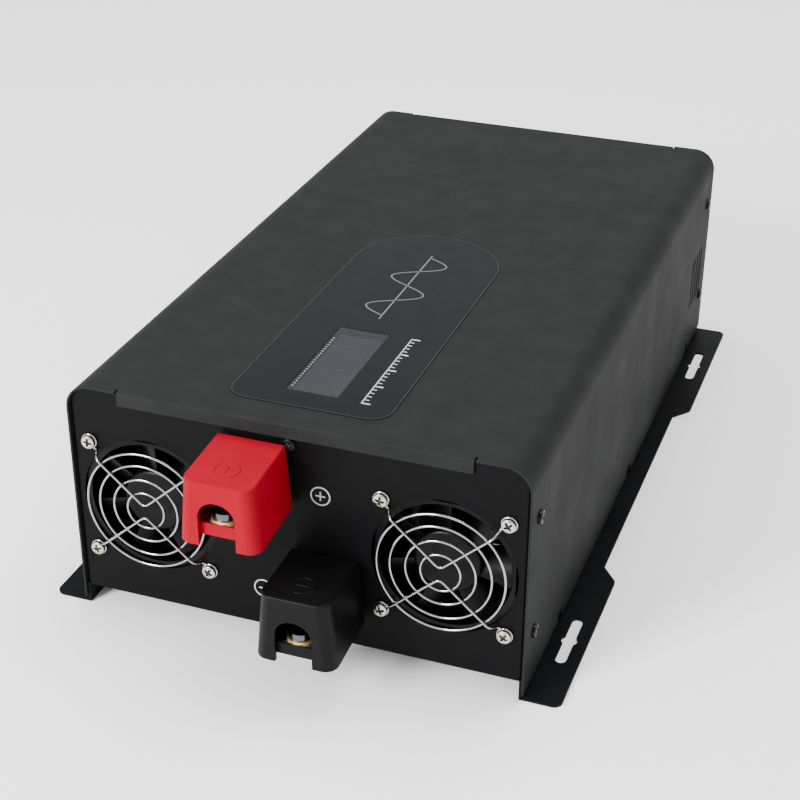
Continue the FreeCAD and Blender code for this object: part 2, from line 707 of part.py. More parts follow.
def make_rear_panel():
    body = panel_blank("RearPanelBlank", mirror=True)
    tools = panel_holes("Rear", "body_length", "body_length - cover_screw_y")
    behind = "body_length - 5"
    for i in range(2):
        tools.append(cylinder("GlandHole%d" % i, "gland_thread + 0.2", "10",
                              "gland_left_x + %d * gland_pitch" % i, behind, "gland_z", TO_REAR))
        tools.append(cylinder("BreakerHole%d" % i, "bushing_radius + cutout_gap", "10",
                              "breaker_x - %d * breaker_pitch" % i, behind, "breaker_z", TO_REAR))
    for fitting in ("switch", "port"):
        reach_x = "(%s_half_x + cutout_gap)" % fitting
        reach_z = "(%s_half_z + cutout_gap)" % fitting
        tools.append(block(fitting.capitalize() + "Opening",
                           ("%s_x - %s" % (fitting, reach_x), "%s_x + %s" % (fitting, reach_x)),
                           (behind, "body_length + 5"), ("fitting_z - " + reach_z, "fitting_z + " + reach_z)))
    tools.append(cylinder("StudHole", "stud_radius + 0.2", "10", "stud_x", behind, "stud_z", TO_REAR))
    tools += rear_vent_slots()
    node("rear_panel", cut("RearPanel", body, tools))


# ---- fasteners ----

def pan_screw(name, length):
    """A cross-recessed pan head screw: head above Z = 0, shank below."""
    body = new_body(name + "Head")
    sketch = new_sketch(body, "XY_Plane")
    add_circle(sketch, "screw_head", "0", "0")
    pad(body, sketch, "screw_head_height")
    top = size("screw_head_height")
    round_edges(body, "screw_head_height * 0.72", lambda edge: near(edge.CenterOfMass.z, top))
    shank = cylinder(name + "Shank", "screw_radius", length + " + 0.5", z="-(%s)" % length)
    recess = [block(name + "RecessX", ("-2.1", "2.1"), ("-screw_recess / 2", "screw_recess / 2"),
                    ("screw_head_height - 1.5", "screw_head_height + 1")),
              block(name + "RecessY", ("-screw_recess / 2", "screw_recess / 2"), ("-2.1", "2.1"),
                    ("screw_head_height - 1.5", "screw_head_height + 1"))]
    return cut(name, fuse(name + "Solid", [body, shank]), recess)


def make_case_screws():
    side_screw = pan_screw("SideScrew", "cover_screw_length")
    copies = []
    for name, side in SIDES:
        for i, along in enumerate(("cover_screw_y", "body_length - cover_screw_y")):
            for j, up in enumerate(("cover_screw_low", "cover_screw_high")):
                copies.append(copy("%sSideScrew%d%d" % (name, i, j), side_screw,
                                   "%d * body_width / 2" % side, along, up, (side, 0, 0)))
    node("cover_screws", group("CoverScrews", copies))

    upper_screw = pan_screw("UpperScrew", "panel_screw_length")
    node("panel_screws", group("PanelScrews", [
        copy("FrontUpperScrew", upper_screw, "panel_screw_x", "0", "panel_screw_z", TO_FRONT),
        copy("RearUpperScrew", upper_screw, "panel_screw_x", "body_length", "panel_screw_z", TO_REAR)]))

    rivet = fuse("Rivet", [cylinder("RivetShank", "rivet_radius", "chassis_skin + panel_skin",
                                    z="floor_top - chassis_skin"),
                           cylinder("RivetHead", "3", "1.2", z="floor_top + panel_skin")])
    rivets = [copy("PanelRivet", rivet, x, along) for x, along in rivet_places()]
    node("panel_rivets", group("PanelRivets", rivets))


# ---- fans ----

def make_fan_frame(name, side):
    body = new_body(name + "FanBlank")
    sketch = new_sketch(body, "XZ_Plane", "-panel_skin")
    add_rectangle(sketch, "-fan_size / 2", "fan_size / 2", "-fan_size / 2", "fan_size / 2")
    pad(body, sketch, "fan_depth", reverse=True)
    half = size("fan_size") / 2
    round_edges(body, "fan_corner", lambda edge: runs_along(edge, Y_AXIS)
                and near(abs(edge.CenterOfMass.x), half))
    tools = [cylinder(name + "FanBore", "fan_bore", "fan_depth + 2", "0", "panel_skin - 1", "0", TO_REAR)]
    for i, (dx, dz) in enumerate(CORNERS):
        tools.append(cylinder("%sFrameHole%d" % (name, i), "screw_hole", "fan_depth + 2",
                              "%d * fan_pitch" % dx, "panel_skin - 1", "%d * fan_pitch" % dz, TO_REAR))
    ring = cut(name + "FanRing", body, tools)
    rear = "panel_skin + fan_depth"
    parts = [ring, cylinder(name + "MotorMount", "hub_radius", "3", "0", rear + " - 3", "0", TO_REAR),
             cylinder(name + "BearingTube", "bearing_tube", rear + " - hub_front - 5", "0",
                      "hub_front + 4", "0", TO_REAR)]
    parts.append(block(name + "StrutAcross", ("-fan_bore - 0.5", "fan_bore + 0.5"), (rear + " - 3", rear),
                       ("-strut_width / 2", "strut_width / 2")))
    parts.append(block(name + "StrutUp", ("-strut_width / 2", "strut_width / 2"), (rear + " - 3", rear),
                       ("-fan_bore - 0.5", "fan_bore + 0.5")))
    bore = cylinder(name + "Bearing", "fan_bearing", "fan_depth", "0", "hub_front", "0", TO_REAR)
    frame = cut(name + "FanFrame", fuse(name + "FanSolid", parts), [bore])
    place(frame, "%d * fan_x" % side, "0", "fan_z")
    node(name + "_fan_frame", frame)


def blade_section(radius, pitch, centre_y, chord, thick):
    """A closed, curved blade section on the plane X = radius, pitched from the Y axis."""
    along = Vector(0, math.cos(pitch), math.sin(pitch))
    across = Vector(0, -math.sin(pitch), math.cos(pitch))
    middle = Vector(radius, centre_y, 0)
    camber = chord * 0.09
    front = middle - along * chord / 2
    back = middle + along * chord / 2
    upper = Part.Arc(front, middle + across * (camber + thick / 2), back)
    lower = Part.Arc(back, middle + across * (camber - thick / 2), front)
    return Part.Wire([upper.toShape(), lower.toShape()])


def make_fan_rotor(name, side):
    """Hub cup, seven twisted blades and the shaft, as one moulding."""
    hub = size("hub_radius")
    front = size("hub_front")
    rear = size("hub_rear")
    wall = size("hub_wall")
    mid = (front + rear) / 2 + 0.5
    to_rear = Vector(*TO_REAR)
    cup = Part.makeCylinder(hub, rear - front, Vector(0, front, 0), to_rear)
    edge = [item for item in cup.Edges if near(item.CenterOfMass.y, front)]
    cup = cup.makeFillet(2.5, edge)
    cup = cup.cut(Part.makeCylinder(hub - wall, rear, Vector(0, front + wall, 0), to_rear))
    shaft = Part.makeCylinder(size("fan_shaft"), rear - front, Vector(0, front, 0), to_rear)
    root = blade_section(hub - 1, math.radians(42), mid, 18, 1.9)
    tip = blade_section(size("blade_tip") + 3, math.radians(56), mid, 25, 1.3)
    blade = Part.makeLoft([root, tip], True, True)
    reach = Part.makeCylinder(size("blade_tip"), 60, Vector(0, -20, 0), to_rear)
    reach = reach.cut(Part.makeCylinder(hub - wall / 2, 60, Vector(0, -20, 0), to_rear))
    reach = reach.common(Part.makeBox(100, size("fan_depth") - 5, 100, Vector(-50, front - 1, -50)))
    blade = blade.common(reach)
    rotor = cup.fuse(shaft)
    blades = 7
    for i in range(blades):
        turned = blade.copy()
        turned.rotate(Vector(), to_rear, 360.0 * i / blades)
        rotor = rotor.fuse(turned)
    item = doc.addObject("Part::Feature", name + "FanRotor")
    item.Shape = rotor
    place(item, "%d * fan_x" % side, "0", "fan_z")
    node(name + "_fan_rotor", item)


def guard_strut(name, start, end):
    """A straight piece of guard wire with a round start, from start to end."""
    run = end - start
    item = doc.addObject("Part::Cylinder", name)
    bind(item, Radius="guard_wire")
    item.Height = run.Length
    item.Placement = Placement(start, Rotation(Vector(0, 0, 1), run))
    ball = doc.addObject("Part::Sphere", name + "Ball")
    bind(ball, Radius="guard_wire")
    ball.Placement.Base = start
    return [item, ball]


def make_fan_guard(name, side):
    """Four rings, and two bent cross wires whose ends loop round the screws."""
    parts = []
    for i, radius in enumerate((11.4, 20, 29, 36.6)):
        ring = doc.addObject("Part::Torus", "%sRing%d" % (name, i))
        ring.Radius1 = radius
        bind(ring, Radius2="guard_wire")
        parts.append(place(ring, "0", "-guard_stand", "0", TO_REAR))
    wire = size("guard_wire")
    cross_y = -size("guard_stand") - 1.6 * wire
    pitch = size("fan_pitch")
    knee = size("guard_knee")
    loop = size("guard_loop")
    tail = size("guard_tail")
    for up in (-1, 1):
        apex = Vector(0, cross_y, up * size("guard_apex"))
        for out in (-1, 1):
            tag = "%sWire%s%s" % (name, "Low" if up < 0 else "High", "Left" if out < 0 else "Right")
            bend = Vector(out * knee, cross_y, up * knee)
            heel = pitch - (loop + tail) / math.sqrt(2)
            end = pitch - loop / math.sqrt(2)
            foot = Vector(out * heel, -wire, up * heel)
            parts += guard_strut(tag + "Run", apex, bend)
            parts += guard_strut(tag + "Drop", bend, foot)
            parts += guard_strut(tag + "Tail", foot, Vector(out * end, -wire, up * end))
            eye = doc.addObject("Part::Torus", tag + "Eye")
            bind(eye, Radius1="guard_loop", Radius2="guard_wire")
            parts.append(place(eye, "%d * fan_pitch" % out, "-guard_wire", "%d * fan_pitch" % up, TO_REAR))
    guard = fuse(name + "FanGuard", parts)
    place(guard, "%d * fan_x" % side, "0", "fan_z")
    node(name + "_fan_guard", guard)


def make_fan_fasteners():
    """The eight guard screws, and one nut for each of them and for the two upper panel screws."""
    screw = pan_screw("FanScrew", "fan_screw_length")
    nut = cut("PlainNut", hexagon("PlainNutHex", "nut_across", "nut_height"),
              [cylinder("PlainNutBore", "screw_radius + 0.05", "10", z="-1")])
    screws = []
    nuts = [copy("FrontUpperNut", nut, "panel_screw_x", "panel_skin", "panel_screw_z", TO_REAR),
            copy("RearUpperNut", nut, "panel_screw_x", "body_length - panel_skin", "panel_screw_z",
                 TO_FRONT)]
    for name, side in SIDES:
        for i, (dx, dz) in enumerate(CORNERS):
            x = "%d * fan_x + %d * fan_pitch" % (side, dx)
            z = "fan_z + %d * fan_pitch" % dz
            screws.append(copy("%sGuardScrew%d" % (name, i), screw, x, "-2 * guard_wire", z, TO_FRONT))
            nuts.append(copy("%sGuardNut%d" % (name, i), nut, x, "panel_skin + fan_depth", z, TO_REAR))
    node("fan_guard_screws", group("FanGuardScrews", screws))
    node("screw_nuts", group("ScrewNuts", nuts))


def make_fan_stators():
    stators = []
    for name, side in SIDES:
        stators.append(tube(name + "Stator", "stator_radius", "bearing_tube", "hub_rear - hub_front - 7",
                            "%d * fan_x" % side, "hub_front + 5", "fan_z", TO_REAR))
    node("fan_stators", group("FanStators", stators))


# ---- battery terminals ----

def boot_solid(name, inset, rear, bottom, top, fall):
    """A trapezoid block with rounded front corners and a top that falls towards the front."""
    body = new_body(name)
    sketch = new_sketch(body, "XZ_Plane", rear)
    foot_half = "boot_foot_half - " + inset
    top_half = "boot_top_half - " + inset
    add_outline(sketch, [("-(%s)" % foot_half, bottom), (foot_half, bottom), (top_half, top),
                         ("-(%s)" % top_half, top)])
    pad(body, sketch, "boot_reach - %s - (%s)" % (inset, rear))
    front = size("boot_reach") - 5
    round_edges(body, "boot_corner - %s" % inset, lambda edge: edge.CenterOfMass.y < -front
                and edge.Length > 30 and abs(edge.CenterOfMass.x) > 10)
    wedge = new_sketch(body, "YZ_Plane")
    add_outline(wedge, [("2", top + " + 2 * %s / boot_reach" % fall),
                        ("-2 * boot_reach", "%s - 2 * %s" % (top, fall)),
                        ("-2 * boot_reach", top + " + 5"), ("2", top + " + 5")])
    pocket_through(body, wedge)
    return body


def make_boot(name, x, seat, fall):
    """The pull-off cover of one battery terminal, open behind and below, with a cable arch in front."""
    outer = boot_solid(name + "BootOuter", "0", "boot_gap", "-boot_drop", "boot_top", fall)
    foot = new_sketch(outer, "YZ_Plane")
    slope = "(boot_drop - boot_rear_drop) / boot_reach"
    add_outline(foot, [("1", "%s - boot_rear_drop" % slope),
                       ("-2 * boot_reach", "-2 * boot_reach * %s - boot_rear_drop" % slope),
                       ("-2 * boot_reach", "-3 * boot_reach"), ("1", "-3 * boot_reach")])
    pocket_through(outer, foot)
    rear = -size("boot_gap")
    low = size("boot_top") - size(fall) - 2
    round_edges(outer, "boot_edge", lambda edge: edge.CenterOfMass.z > low
                and edge.CenterOfMass.y < rear - 0.5)
    inner = boot_solid(name + "BootHollow", "boot_wall", "-1", "-boot_drop - 1", "boot_top - boot_wall",
                       fall)
    arch = new_body(name + "BootArch")
    sketch = new_sketch(arch, "XZ_Plane", "boot_reach + 10")
    add_rectangle(sketch, "-arch_half", "arch_half", "-boot_drop - 10", "arch_top")
    pad(arch, sketch, "20", reverse=True)
    top = size("arch_top")
    round_edges(arch, "arch_corner", lambda edge: runs_along(edge, Y_AXIS)
                and near(edge.CenterOfMass.z, top))
    boot = cut(name + "Boot", outer, [inner, arch])
    place(boot, x, "0", seat)
    node(name.lower() + "_terminal_boot", boot)


def make_terminal(name, x, base):
    """The moulded block on the panel and the busbar that lies in it and runs to the power board."""
    top = base + " + block_height"
    seat = top + " - busbar_thick"
    strap_end = "block_rim - block_reach"
    solid = fuse(name + "BlockSolid", [
        block(name + "BlockNose", (x + " - block_half", x + " + block_half"), ("-block_reach", "0"),
              (base, top)),
        block(name + "BlockTongue", (x + " - tongue_half", x + " + tongue_half"), ("-1", "tongue_reach"),
              (base + " + tongue_step", top))])
    channel = block(name + "Channel", (x + " - busbar_half", x + " + busbar_half"),
                    (strap_end, "tongue_reach + 1"), (seat, top + " + 1"))
    hole = cylinder(name + "InsertHole", "insert_radius", "20", x, "-bolt_reach", base + " - 1")
    node(name.lower() + "_terminal_block", cut(name + "Block", solid, [channel, hole]))

    strap = block(name + "Strap", (x + " - busbar_half", x + " + busbar_half"), (strap_end, "busbar_end"),
                  (seat, top))
    leg = block(name + "Leg", (x + " - busbar_half", x + " + busbar_half"),
                ("busbar_end - busbar_thick", "busbar_end"), ("board_bottom + board_thick", top))
    hole = cylinder(name + "BusbarHole", "bolt_radius + 0.2", "20", x, "-bolt_reach", seat + " - 5")
    node(name.lower() + "_busbar", cut(name + "Busbar", fuse(name + "BusbarSolid", [strap, leg]), [hole]))


def make_terminal_fasteners():
    """One bolt, spring washer, flat washer and threaded insert for each terminal."""
    head = cylinder("BoltHead", "bolt_head_radius", "bolt_head")
    dome = doc.addObject("Part::Sphere", "BoltDome")
    bind(dome, Radius="bolt_dome")
    rounded = doc.addObject("Part::Common", "BoltHeadRounded")
    rounded.Base = head
    rounded.Tool = place(dome, "0", "0", "bolt_head - bolt_dome")
    shank = cylinder("BoltShank", "bolt_radius", "busbar_thick + washer_thick + spring_washer_thick + 5",
                     z="-(busbar_thick + washer_thick + spring_washer_thick) - 4.5")
    socket = hexagon("BoltSocket", "bolt_socket", "bolt_socket_depth + 1",
                     z="bolt_head - bolt_socket_depth")
    bolt = cut("Bolt", fuse("BoltSolid", [rounded, shank]), [socket])
    spring = tube("SpringWasher", "spring_washer_radius", "bolt_radius + 0.2", "spring_washer_thick")
    gap = block("SpringSplit", ("0", "10"), ("-0.6", "0.6"), ("-1", "spring_washer_thick + 1"))
    masters = [("terminal_bolts", bolt, "washer_thick + spring_washer_thick"),
               ("terminal_spring_washers", cut("SplitWasher", spring, [gap]), "washer_thick"),
               ("terminal_flat_washers",
                tube("FlatWasher", "washer_radius", "bolt_radius + 0.3", "washer_thick"), "0"),
               ("terminal_inserts", tube("Insert", "insert_radius", "bolt_radius + 0.05",
                                         "block_height - busbar_thick - 0.5"), "0.5 - block_height")]
    for label, master, lift in masters:
        copies = []
        for name, x, base in POLES:
            copies.append(copy(name + master.Name, master, x, "-bolt_reach",
                               "%s + block_height + %s" % (base, lift)))
        node(label, group(master.Name + "Pair", copies))


def make_polarity_marks():
    """Printed rings beside the terminals, with a plus and a minus sign inside."""
    shapes = []
    arm = "mark_radius * 0.48"
    for name, x, z, bars in (("Plus", "plus_x", "plus_z", 2), ("Minus", "minus_x", "minus_z", 1)):
        shapes.append(tube(name + "Mark", "mark_radius", "mark_radius - mark_line", "mark_thick",
                           x, "-mark_thick", z, TO_REAR))
        shapes.append(block(name + "Bar", ("%s - %s" % (x, arm), "%s + %s" % (x, arm)), ("-mark_thick", "0"),
                            ("%s - mark_line / 2" % z, "%s + mark_line / 2" % z)))
        if bars == 2:
            upright = block(name + "Upright", ("%s - mark_line / 2" % x, "%s + mark_line / 2" % x),
                            ("-mark_thick", "0"), ("%s - %s" % (z, arm), "%s + %s" % (z, arm)))
            shapes[-1] = fuse(name + "Cross", [shapes[-1], upright])
    node("polarity_marks", group("PolarityMarks", shapes))


# ---- display ----

def make_display():
    top = "cover_top"
    plate = fuse("LabelPlate", [
        cylinder("LabelRound", "label_half", "label_thick", "0", "label_round_y", top),
        block("LabelField", ("-label_half", "label_half"), ("label_front + label_corner", "label_round_y"),
              (top, top + " + label_thick")),
        block("LabelFront", ("label_corner - label_half", "label_half - label_corner"),
              ("label_front", "label_front + label_corner"), (top, top + " + label_thick"))]
        + [cylinder("LabelCorner" + name, "label_corner", "label_thick",
                    "%d * (label_half - label_corner)" % side, "label_front + label_corner", top)
           for name, side in SIDES])
    window = block("LabelWindow", ("window_left", "window_right"), ("window_front", "window_rear"),
                   (top + " - 1", top + " + 2"))
    node("display_label", cut("DisplayLabel", plate, [window]))

    across = ("window_left + window_gap", "window_right - window_gap")
    along = ("window_front + window_gap", "window_rear - window_gap")
    node("display_lens", block("DisplayLens", across, along, (top, top + " + lens_thick")))
    node("lcd_screen", block("LcdScreen", across, along, ("display_board_top", top)))
    bezel = block("BezelBlank", ("window_left - bezel_wall", "window_right + bezel_wall"),
                  ("window_front - bezel_wall", "window_rear + bezel_wall"),
                  ("display_board_top", "cover_top - cover_skin - 0.2"))
    hollow = block("BezelHollow", ("window_left", "window_right"), ("window_front", "window_rear"),
                   ("display_board_top - 1", top))
    node("lcd_bezel", cut("LcdBezel", bezel, [hollow]))

    corners = [(x, y) for x in ("window_left - 9", "window_right + 9")
               for y in ("window_front - 9", "window_rear + 9")]
    holes = [cylinder("DisplayHole%d" % i, "1.7", "10", x, y, "display_board_top - 5")
             for i, (x, y) in enumerate(corners)]
    board = block("DisplayBoardBlank", ("window_left - 13", "window_right + 13"),
                  ("window_front - 13", "window_rear + 13"),
                  ("display_board_top - board_thick", "display_board_top"))
    node("display_board", cut("DisplayBoard", board, holes))
    studs = []
    for i, (x, y) in enumerate(corners):
        studs.append(fuse("DisplayStud%d" % i, [
            cylinder("DisplaySpacer%d" % i, "2.6", "cover_top - cover_skin - display_board_top", x, y,
                     "display_board_top"),
            cylinder("DisplayPin%d" % i, "1.5", "board_thick + 2", x, y,
                     "display_board_top - board_thick - 1")]))
    node("display_studs", group("DisplayStuds", studs))


# ---- power stage ----

def board_corners(low_x, high_x, low_y, high_y):
    return [(x, y) for x in (low_x + " + 6", high_x + " - 6") for y in (low_y + " + 6", high_y + " - 6")]


def make_boards():
    """The power and output boards on standoffs, each held by four screws."""
    boards = (("power_board", "-power_half", "power_half", "power_front", "power_rear"),
              ("output_board", "-122", "-14", "body_length - 84", "body_length - 26"))
    standoffs = []
    screws = []
    for label, low_x, high_x, low_y, high_y in boards:
        corners = board_corners(low_x, high_x, low_y, high_y)
        holes = []
        for i, (x, y) in enumerate(corners):
            holes.append(cylinder("%sHole%d" % (label, i), "1.7", "10", x, y, "board_bottom - 5"))
            standoffs.append(cylinder("%sStandoff%d" % (label, i), "standoff_radius",
                                      "board_bottom - floor_top", x, y, "floor_top"))
            screws.append(fuse("%sScrew%d" % (label, i), [
                cylinder("%sScrewHead%d" % (label, i), "3", "2", x, y, "board_bottom + board_thick"),
                cylinder("%sScrewShank%d" % (label, i), "1.5", "board_thick + 1", x, y, "board_bottom")]))
        blank = block(label + "Blank", (low_x, high_x), (low_y, high_y),
                      ("board_bottom", "board_bottom + board_thick"))
        node(label, cut(label + "Drilled", blank, holes))
    node("board_standoffs", group("BoardStandoffs", standoffs))
    node("board_screws", group("BoardScrews", screws))


def make_heatsinks():
    for name, side in SIDES:
        parts = [mirrored_block(name + "SinkBase", side, ("sink_inner", "sink_inner + sink_base"),
                                ("power_front", "power_rear"), ("sink_bottom", "sink_top"))]
        fins = 9
        for i in range(fins):
            low = "sink_bottom + %d * (sink_top - sink_bottom - fin_thick) / %d" % (i, fins - 1)
            parts.append(mirrored_block("%sFin%d" % (name, i), side, ("sink_inner + 1", "sink_outer"),
                                        ("power_front", "power_rear"), (low, low + " + fin_thick")))
        for i, along in enumerate(("power_front + 20", "power_rear - 32")):
            parts.append(mirrored_block("%sSinkFoot%d" % (name, i), side, ("sink_inner", "sink_inner + 12"),
                                        (along, along + " + 12"), ("floor_top", "sink_bottom + 1")))
        node(name + "_heatsink", fuse(name + "Heatsink", parts))


def make_components():
    transistors = []
    for name, side in SIDES:
        for i in range(6):
            along = "power_front + 12 + %d * 24" % i
            transistors.append(mirrored_block("%sTransistor%d" % (name, i), side,
                                              ("sink_inner - transistor_depth", "sink_inner"),
                                              (along, along + " + transistor_width"),
                                              ("transistor_bottom", "transistor_bottom + transistor_height")))
    node("power_transistors", group("PowerTransistors", transistors))

    capacitors = []
    for i in range(5):
        for j, x in enumerate(("-12", "12")):
            capacitors.append(cylinder("Capacitor%d%d" % (i, j), "capacitor_radius", "capacitor_height",
                                       x, "power_front + 40 + %d * 22" % i, "board_bottom + board_thick"))
    node("bulk_capacitors", group("BulkCapacitors", capacitors))

    top = "board_bottom + board_thick"
    relays = []
    for i in range(2):
        x = "-112 + %d * 32" % i
        relays.append(block("Relay%d" % i, (x, x + " + 26"), ("body_length - 74", "body_length - 52"),
                            (top, top + " + 26")))
    node("transfer_relays", group("TransferRelays", relays))
    strip = block("StripBlank", ("-112", "-34"), ("body_length - 48", "body_length - 32"), (top, top + " + 17"))
    wells = []
    for i in range(6):
        wells.append(cylinder("StripWell%d" % i, "4", "20", "-105.5 + %d * 13" % i, "body_length - 40",
                              top + " + 8"))
    node("ac_terminal_strip", cut("AcTerminalStrip", strip, wells))


# ---- transformer ----

def make_transformer():
    """A toroid clamped to the floor between two pads by a dished plate on a stud."""
    bottom = "floor_top + pad_thick"
    body = new_body("WindingRing")
    sketch = new_sketch(body, "XY_Plane", bottom)
    add_circle(sketch, "toroid_radius", "0", "0")
    add_circle(sketch, "toroid_hole", "0", "0")
    pad(body, sketch, "toroid_height")
    round_edges(body, "winding_round", lambda edge: edge.Curve.TypeId == "Part::GeomCircle")
    core_radii = ("toroid_radius - winding_thick", "toroid_hole + winding_thick")
    core_height = "toroid_height - 2 * winding_thick"
    void = tube("CoreSpace", core_radii[0], core_radii[1], core_height, z=bottom + " + winding_thick")
    node("transformer_winding", place(cut("Winding", body, [void]), "0", "toroid_y", "0"))
    node("transformer_core", tube("Core", core_radii[0], core_radii[1], core_height, "0", "toroid_y",
                                  bottom + " + winding_thick"))
    node("transformer_pads", group("TransformerPads", [
        tube("LowerPad", "toroid_radius - 4", "bolt_radius + 1", "pad_thick", "0", "toroid_y", "floor_top"),
        tube("UpperPad", "plate_radius + 4", "bolt_radius + 1", "pad_thick", "0", "toroid_y",
             bottom + " + toroid_height")]))
    plate_z = bottom + " + toroid_height + pad_thick"
    node("transformer_plate", tube("ClampPlate", "plate_radius", "bolt_radius + 0.5", "plate_thick", "0",
                                   "toroid_y", plate_z))
    node("transformer_stud", cylinder("ToroidStud", "bolt_radius - 0.05", "toroid_height + 26", "0",
                                      "toroid_y", "floor_top - chassis_skin"))
    nut = cut("ToroidNutDrilled", hexagon("ToroidNut", "nut_m8_across", "6.5"),
              [cylinder("ToroidNutBore", "bolt_radius", "10", z="-1")])
    node("transformer_nut", place(nut, "0", "toroid_y", plate_z + " + plate_thick"))


# ---- rear fittings ----

def make_glands():
    """Two cable glands through the rear panel, each with an inner locknut."""
    body = fuse("GlandBody", [
        cylinder("GlandThread", "gland_thread", "12", z="-10"),
        hexagon("GlandHex", "gland_hex", "gland_hex_height"),
        cylinder("GlandNeck", "gland_cap - 1.5", "gland_cap_start - gland_hex_height + 2",
                 z="gland_hex_height - 1"),
        cylinder("GlandCap", "gland_cap", "gland_cap_end - gland_cap_start", z="gland_cap_start")])
    cone = doc.addObject("Part::Cone", "GlandNose")
    bind(cone, Radius1="gland_cap", Radius2="gland_cap - 4", Height="rear_reach - gland_cap_end")
    place(cone, z="gland_cap_end")
    grooves = []
    for i in range(12):
        turn = 2 * math.pi * (i + 0.5) / 12
        grooves.append(cylinder("GlandGroove%d" % i, "gland_groove", "gland_cap_end - gland_cap_start - 2",
                                "gland_cap * %.6f" % math.cos(turn), "gland_cap * %.6f" % math.sin(turn),
                                "gland_cap_start + 1"))
    bore = cylinder("GlandBore", "gland_bore", "60", z="-20")
    master = cut("Gland", fuse("GlandSolid", [body, cone]), grooves + [bore])
    locknut = cut("Locknut", hexagon("LocknutHex", "gland_hex", "locknut_height"),
                  [cylinder("LocknutBore", "gland_thread", "10", z="-2")])
    for label, source, along, facing in (("cable_glands", master, "body_length", TO_REAR),
                                         ("gland_locknuts", locknut, "body_length - panel_skin", TO_FRONT)):
        copies = []
        for i in range(2):
            copies.append(copy("%s%d" % (source.Name, i), source, "gland_left_x + %d * gland_pitch" % i,
                               along, "gland_z", facing))
        node(label, group(source.Name + "Pair", copies))


def make_power_switch():
    """A rocker in a snap-in frame. The rocker turns on two stub pins."""
    shell = fuse("SwitchShell", [
        block("SwitchFlange", halves("switch_half_x + switch_flange"),
              ("body_length", "body_length + switch_flange"), halves("switch_half_z + switch_flange + 0.5")),
        block("SwitchBarrel", halves("switch_half_x"), ("body_length - switch_depth", "body_length + 1"),
              halves("switch_half_z"))])
    well = block("SwitchWell", halves("well_half_x"), ("body_length - well_depth", "body_length + 5"),
                 halves("well_half_z"))
    pin_hole = cylinder("SwitchPinHole", "rocker_pin_bore", "2 * switch_half_x - 1", "0.5 - switch_half_x",
                        "body_length - rocker_depth", "0", X_AXIS)
    frame = cut("SwitchFrame", shell, [well, pin_hole])
    node("power_switch_frame", place(frame, "switch_x", "0", "fitting_z"))

    body = new_body("RockerBody")
    sketch = new_sketch(body, "YZ_Plane", "-rocker_half_x")
    add_outline(sketch, [("-4", "-9.4"), ("4.5", "-9.9"), ("2.9", "0"), ("4.5", "9.9"), ("-4", "9.4"),
                         ("-6", "0")])
    pad(body, sketch, "2 * rocker_half_x")
    pins = cylinder("RockerPins", "rocker_pin", "2 * switch_half_x - 1.4", "0.7 - switch_half_x", "0", "0",
                    X_AXIS)
    rocker = fuse("Rocker", [body, pins])
    rocker.Placement.Rotation = Rotation(Vector(1, 0, 0), -7)
    node("power_switch_rocker", place(rocker, "switch_x", "body_length - rocker_depth", "fitting_z"))


def make_breakers():
    """Two push-to-reset breakers: a boxed body with a threaded bushing, a ring nut and a button."""
    master = cut("Breaker", fuse("BreakerSolid", [
        block("BreakerBox", halves("breaker_half_x"), ("-breaker_depth", "-panel_skin"),
              halves("breaker_half_z")),
        cylinder("BreakerBushing", "bushing_radius", "bushing_reach + 1 + panel_skin", "0", "-panel_skin - 1",
                 "0", TO_REAR)]),
        [cylinder("BreakerBore", "button_bore", "24", "0", "-15", "0", TO_REAR)])
    nut = cut("BreakerNut", hexagon("BreakerNutHex", "ring_nut", "ring_nut_height"),
              [cylinder("BreakerNutBore", "bushing_radius", "10", z="-2")])
    bodies = []
    nuts = []
    for i, name in enumerate(("input", "output")):
        x = "breaker_x - %d * breaker_pitch" % i
        bodies.append(copy("Breaker%s" % name, master, x, "body_length", "breaker_z"))
        nuts.append(copy("BreakerNut%s" % name, nut, x, "body_length", "breaker_z", TO_REAR))
        button = fuse(name + "Button", [
            cylinder(name + "Stem", "button_radius", "22", "0", "-12", "0", TO_REAR),
            cylinder(name + "Cap", "button_cap", "button_cap_height", "0", "bushing_reach + 0.5", "0",
                     TO_REAR)])
        node(name + "_breaker_button", place(button, x, "body_length", "breaker_z"))
    node("breaker_bodies", group("BreakerBodies", bodies))
    node("breaker_nuts", group("BreakerNuts", nuts))


def make_port_and_stud():
    blank = block("PortBlank", halves("port_half_x"), ("-port_depth", "port_lip"), halves("port_half_z"))
    jack = cut("PortDrilled", blank,
               [block("PortSocket", halves("socket_half_x"), ("-socket_depth", "3"), ("-4", "3.6")),
                block("PortKey", halves("2"), ("-socket_depth", "3"), ("3", "5"))])
    node("remote_port", place(jack, "port_x", "body_length", "fitting_z"))
    stud = fuse("EarthStud", [
        cylinder("StudShank", "stud_shank", "stud_nut + 0.5 + stud_inside", z="-stud_inside"),
        cylinder("StudEnd", "stud_radius", "stud_reach - stud_nut - 0.1", z="stud_nut + 0.1")])
    node("earth_stud", place(stud, "stud_x", "body_length", "stud_z", TO_REAR))
    nuts = []
    for i, along in enumerate(("body_length - panel_skin - stud_nut", "body_length")):
        nut = cut("EarthNut%d" % i, hexagon("EarthNutHex%d" % i, "nut_m6_across", "stud_nut"),
                  [cylinder("EarthNutBore%d" % i, "stud_shank", "10", z="-2")])
        nuts.append(place(nut, "stud_x", along, "stud_z", TO_REAR))
    node("earth_nuts", group("EarthNuts", nuts))


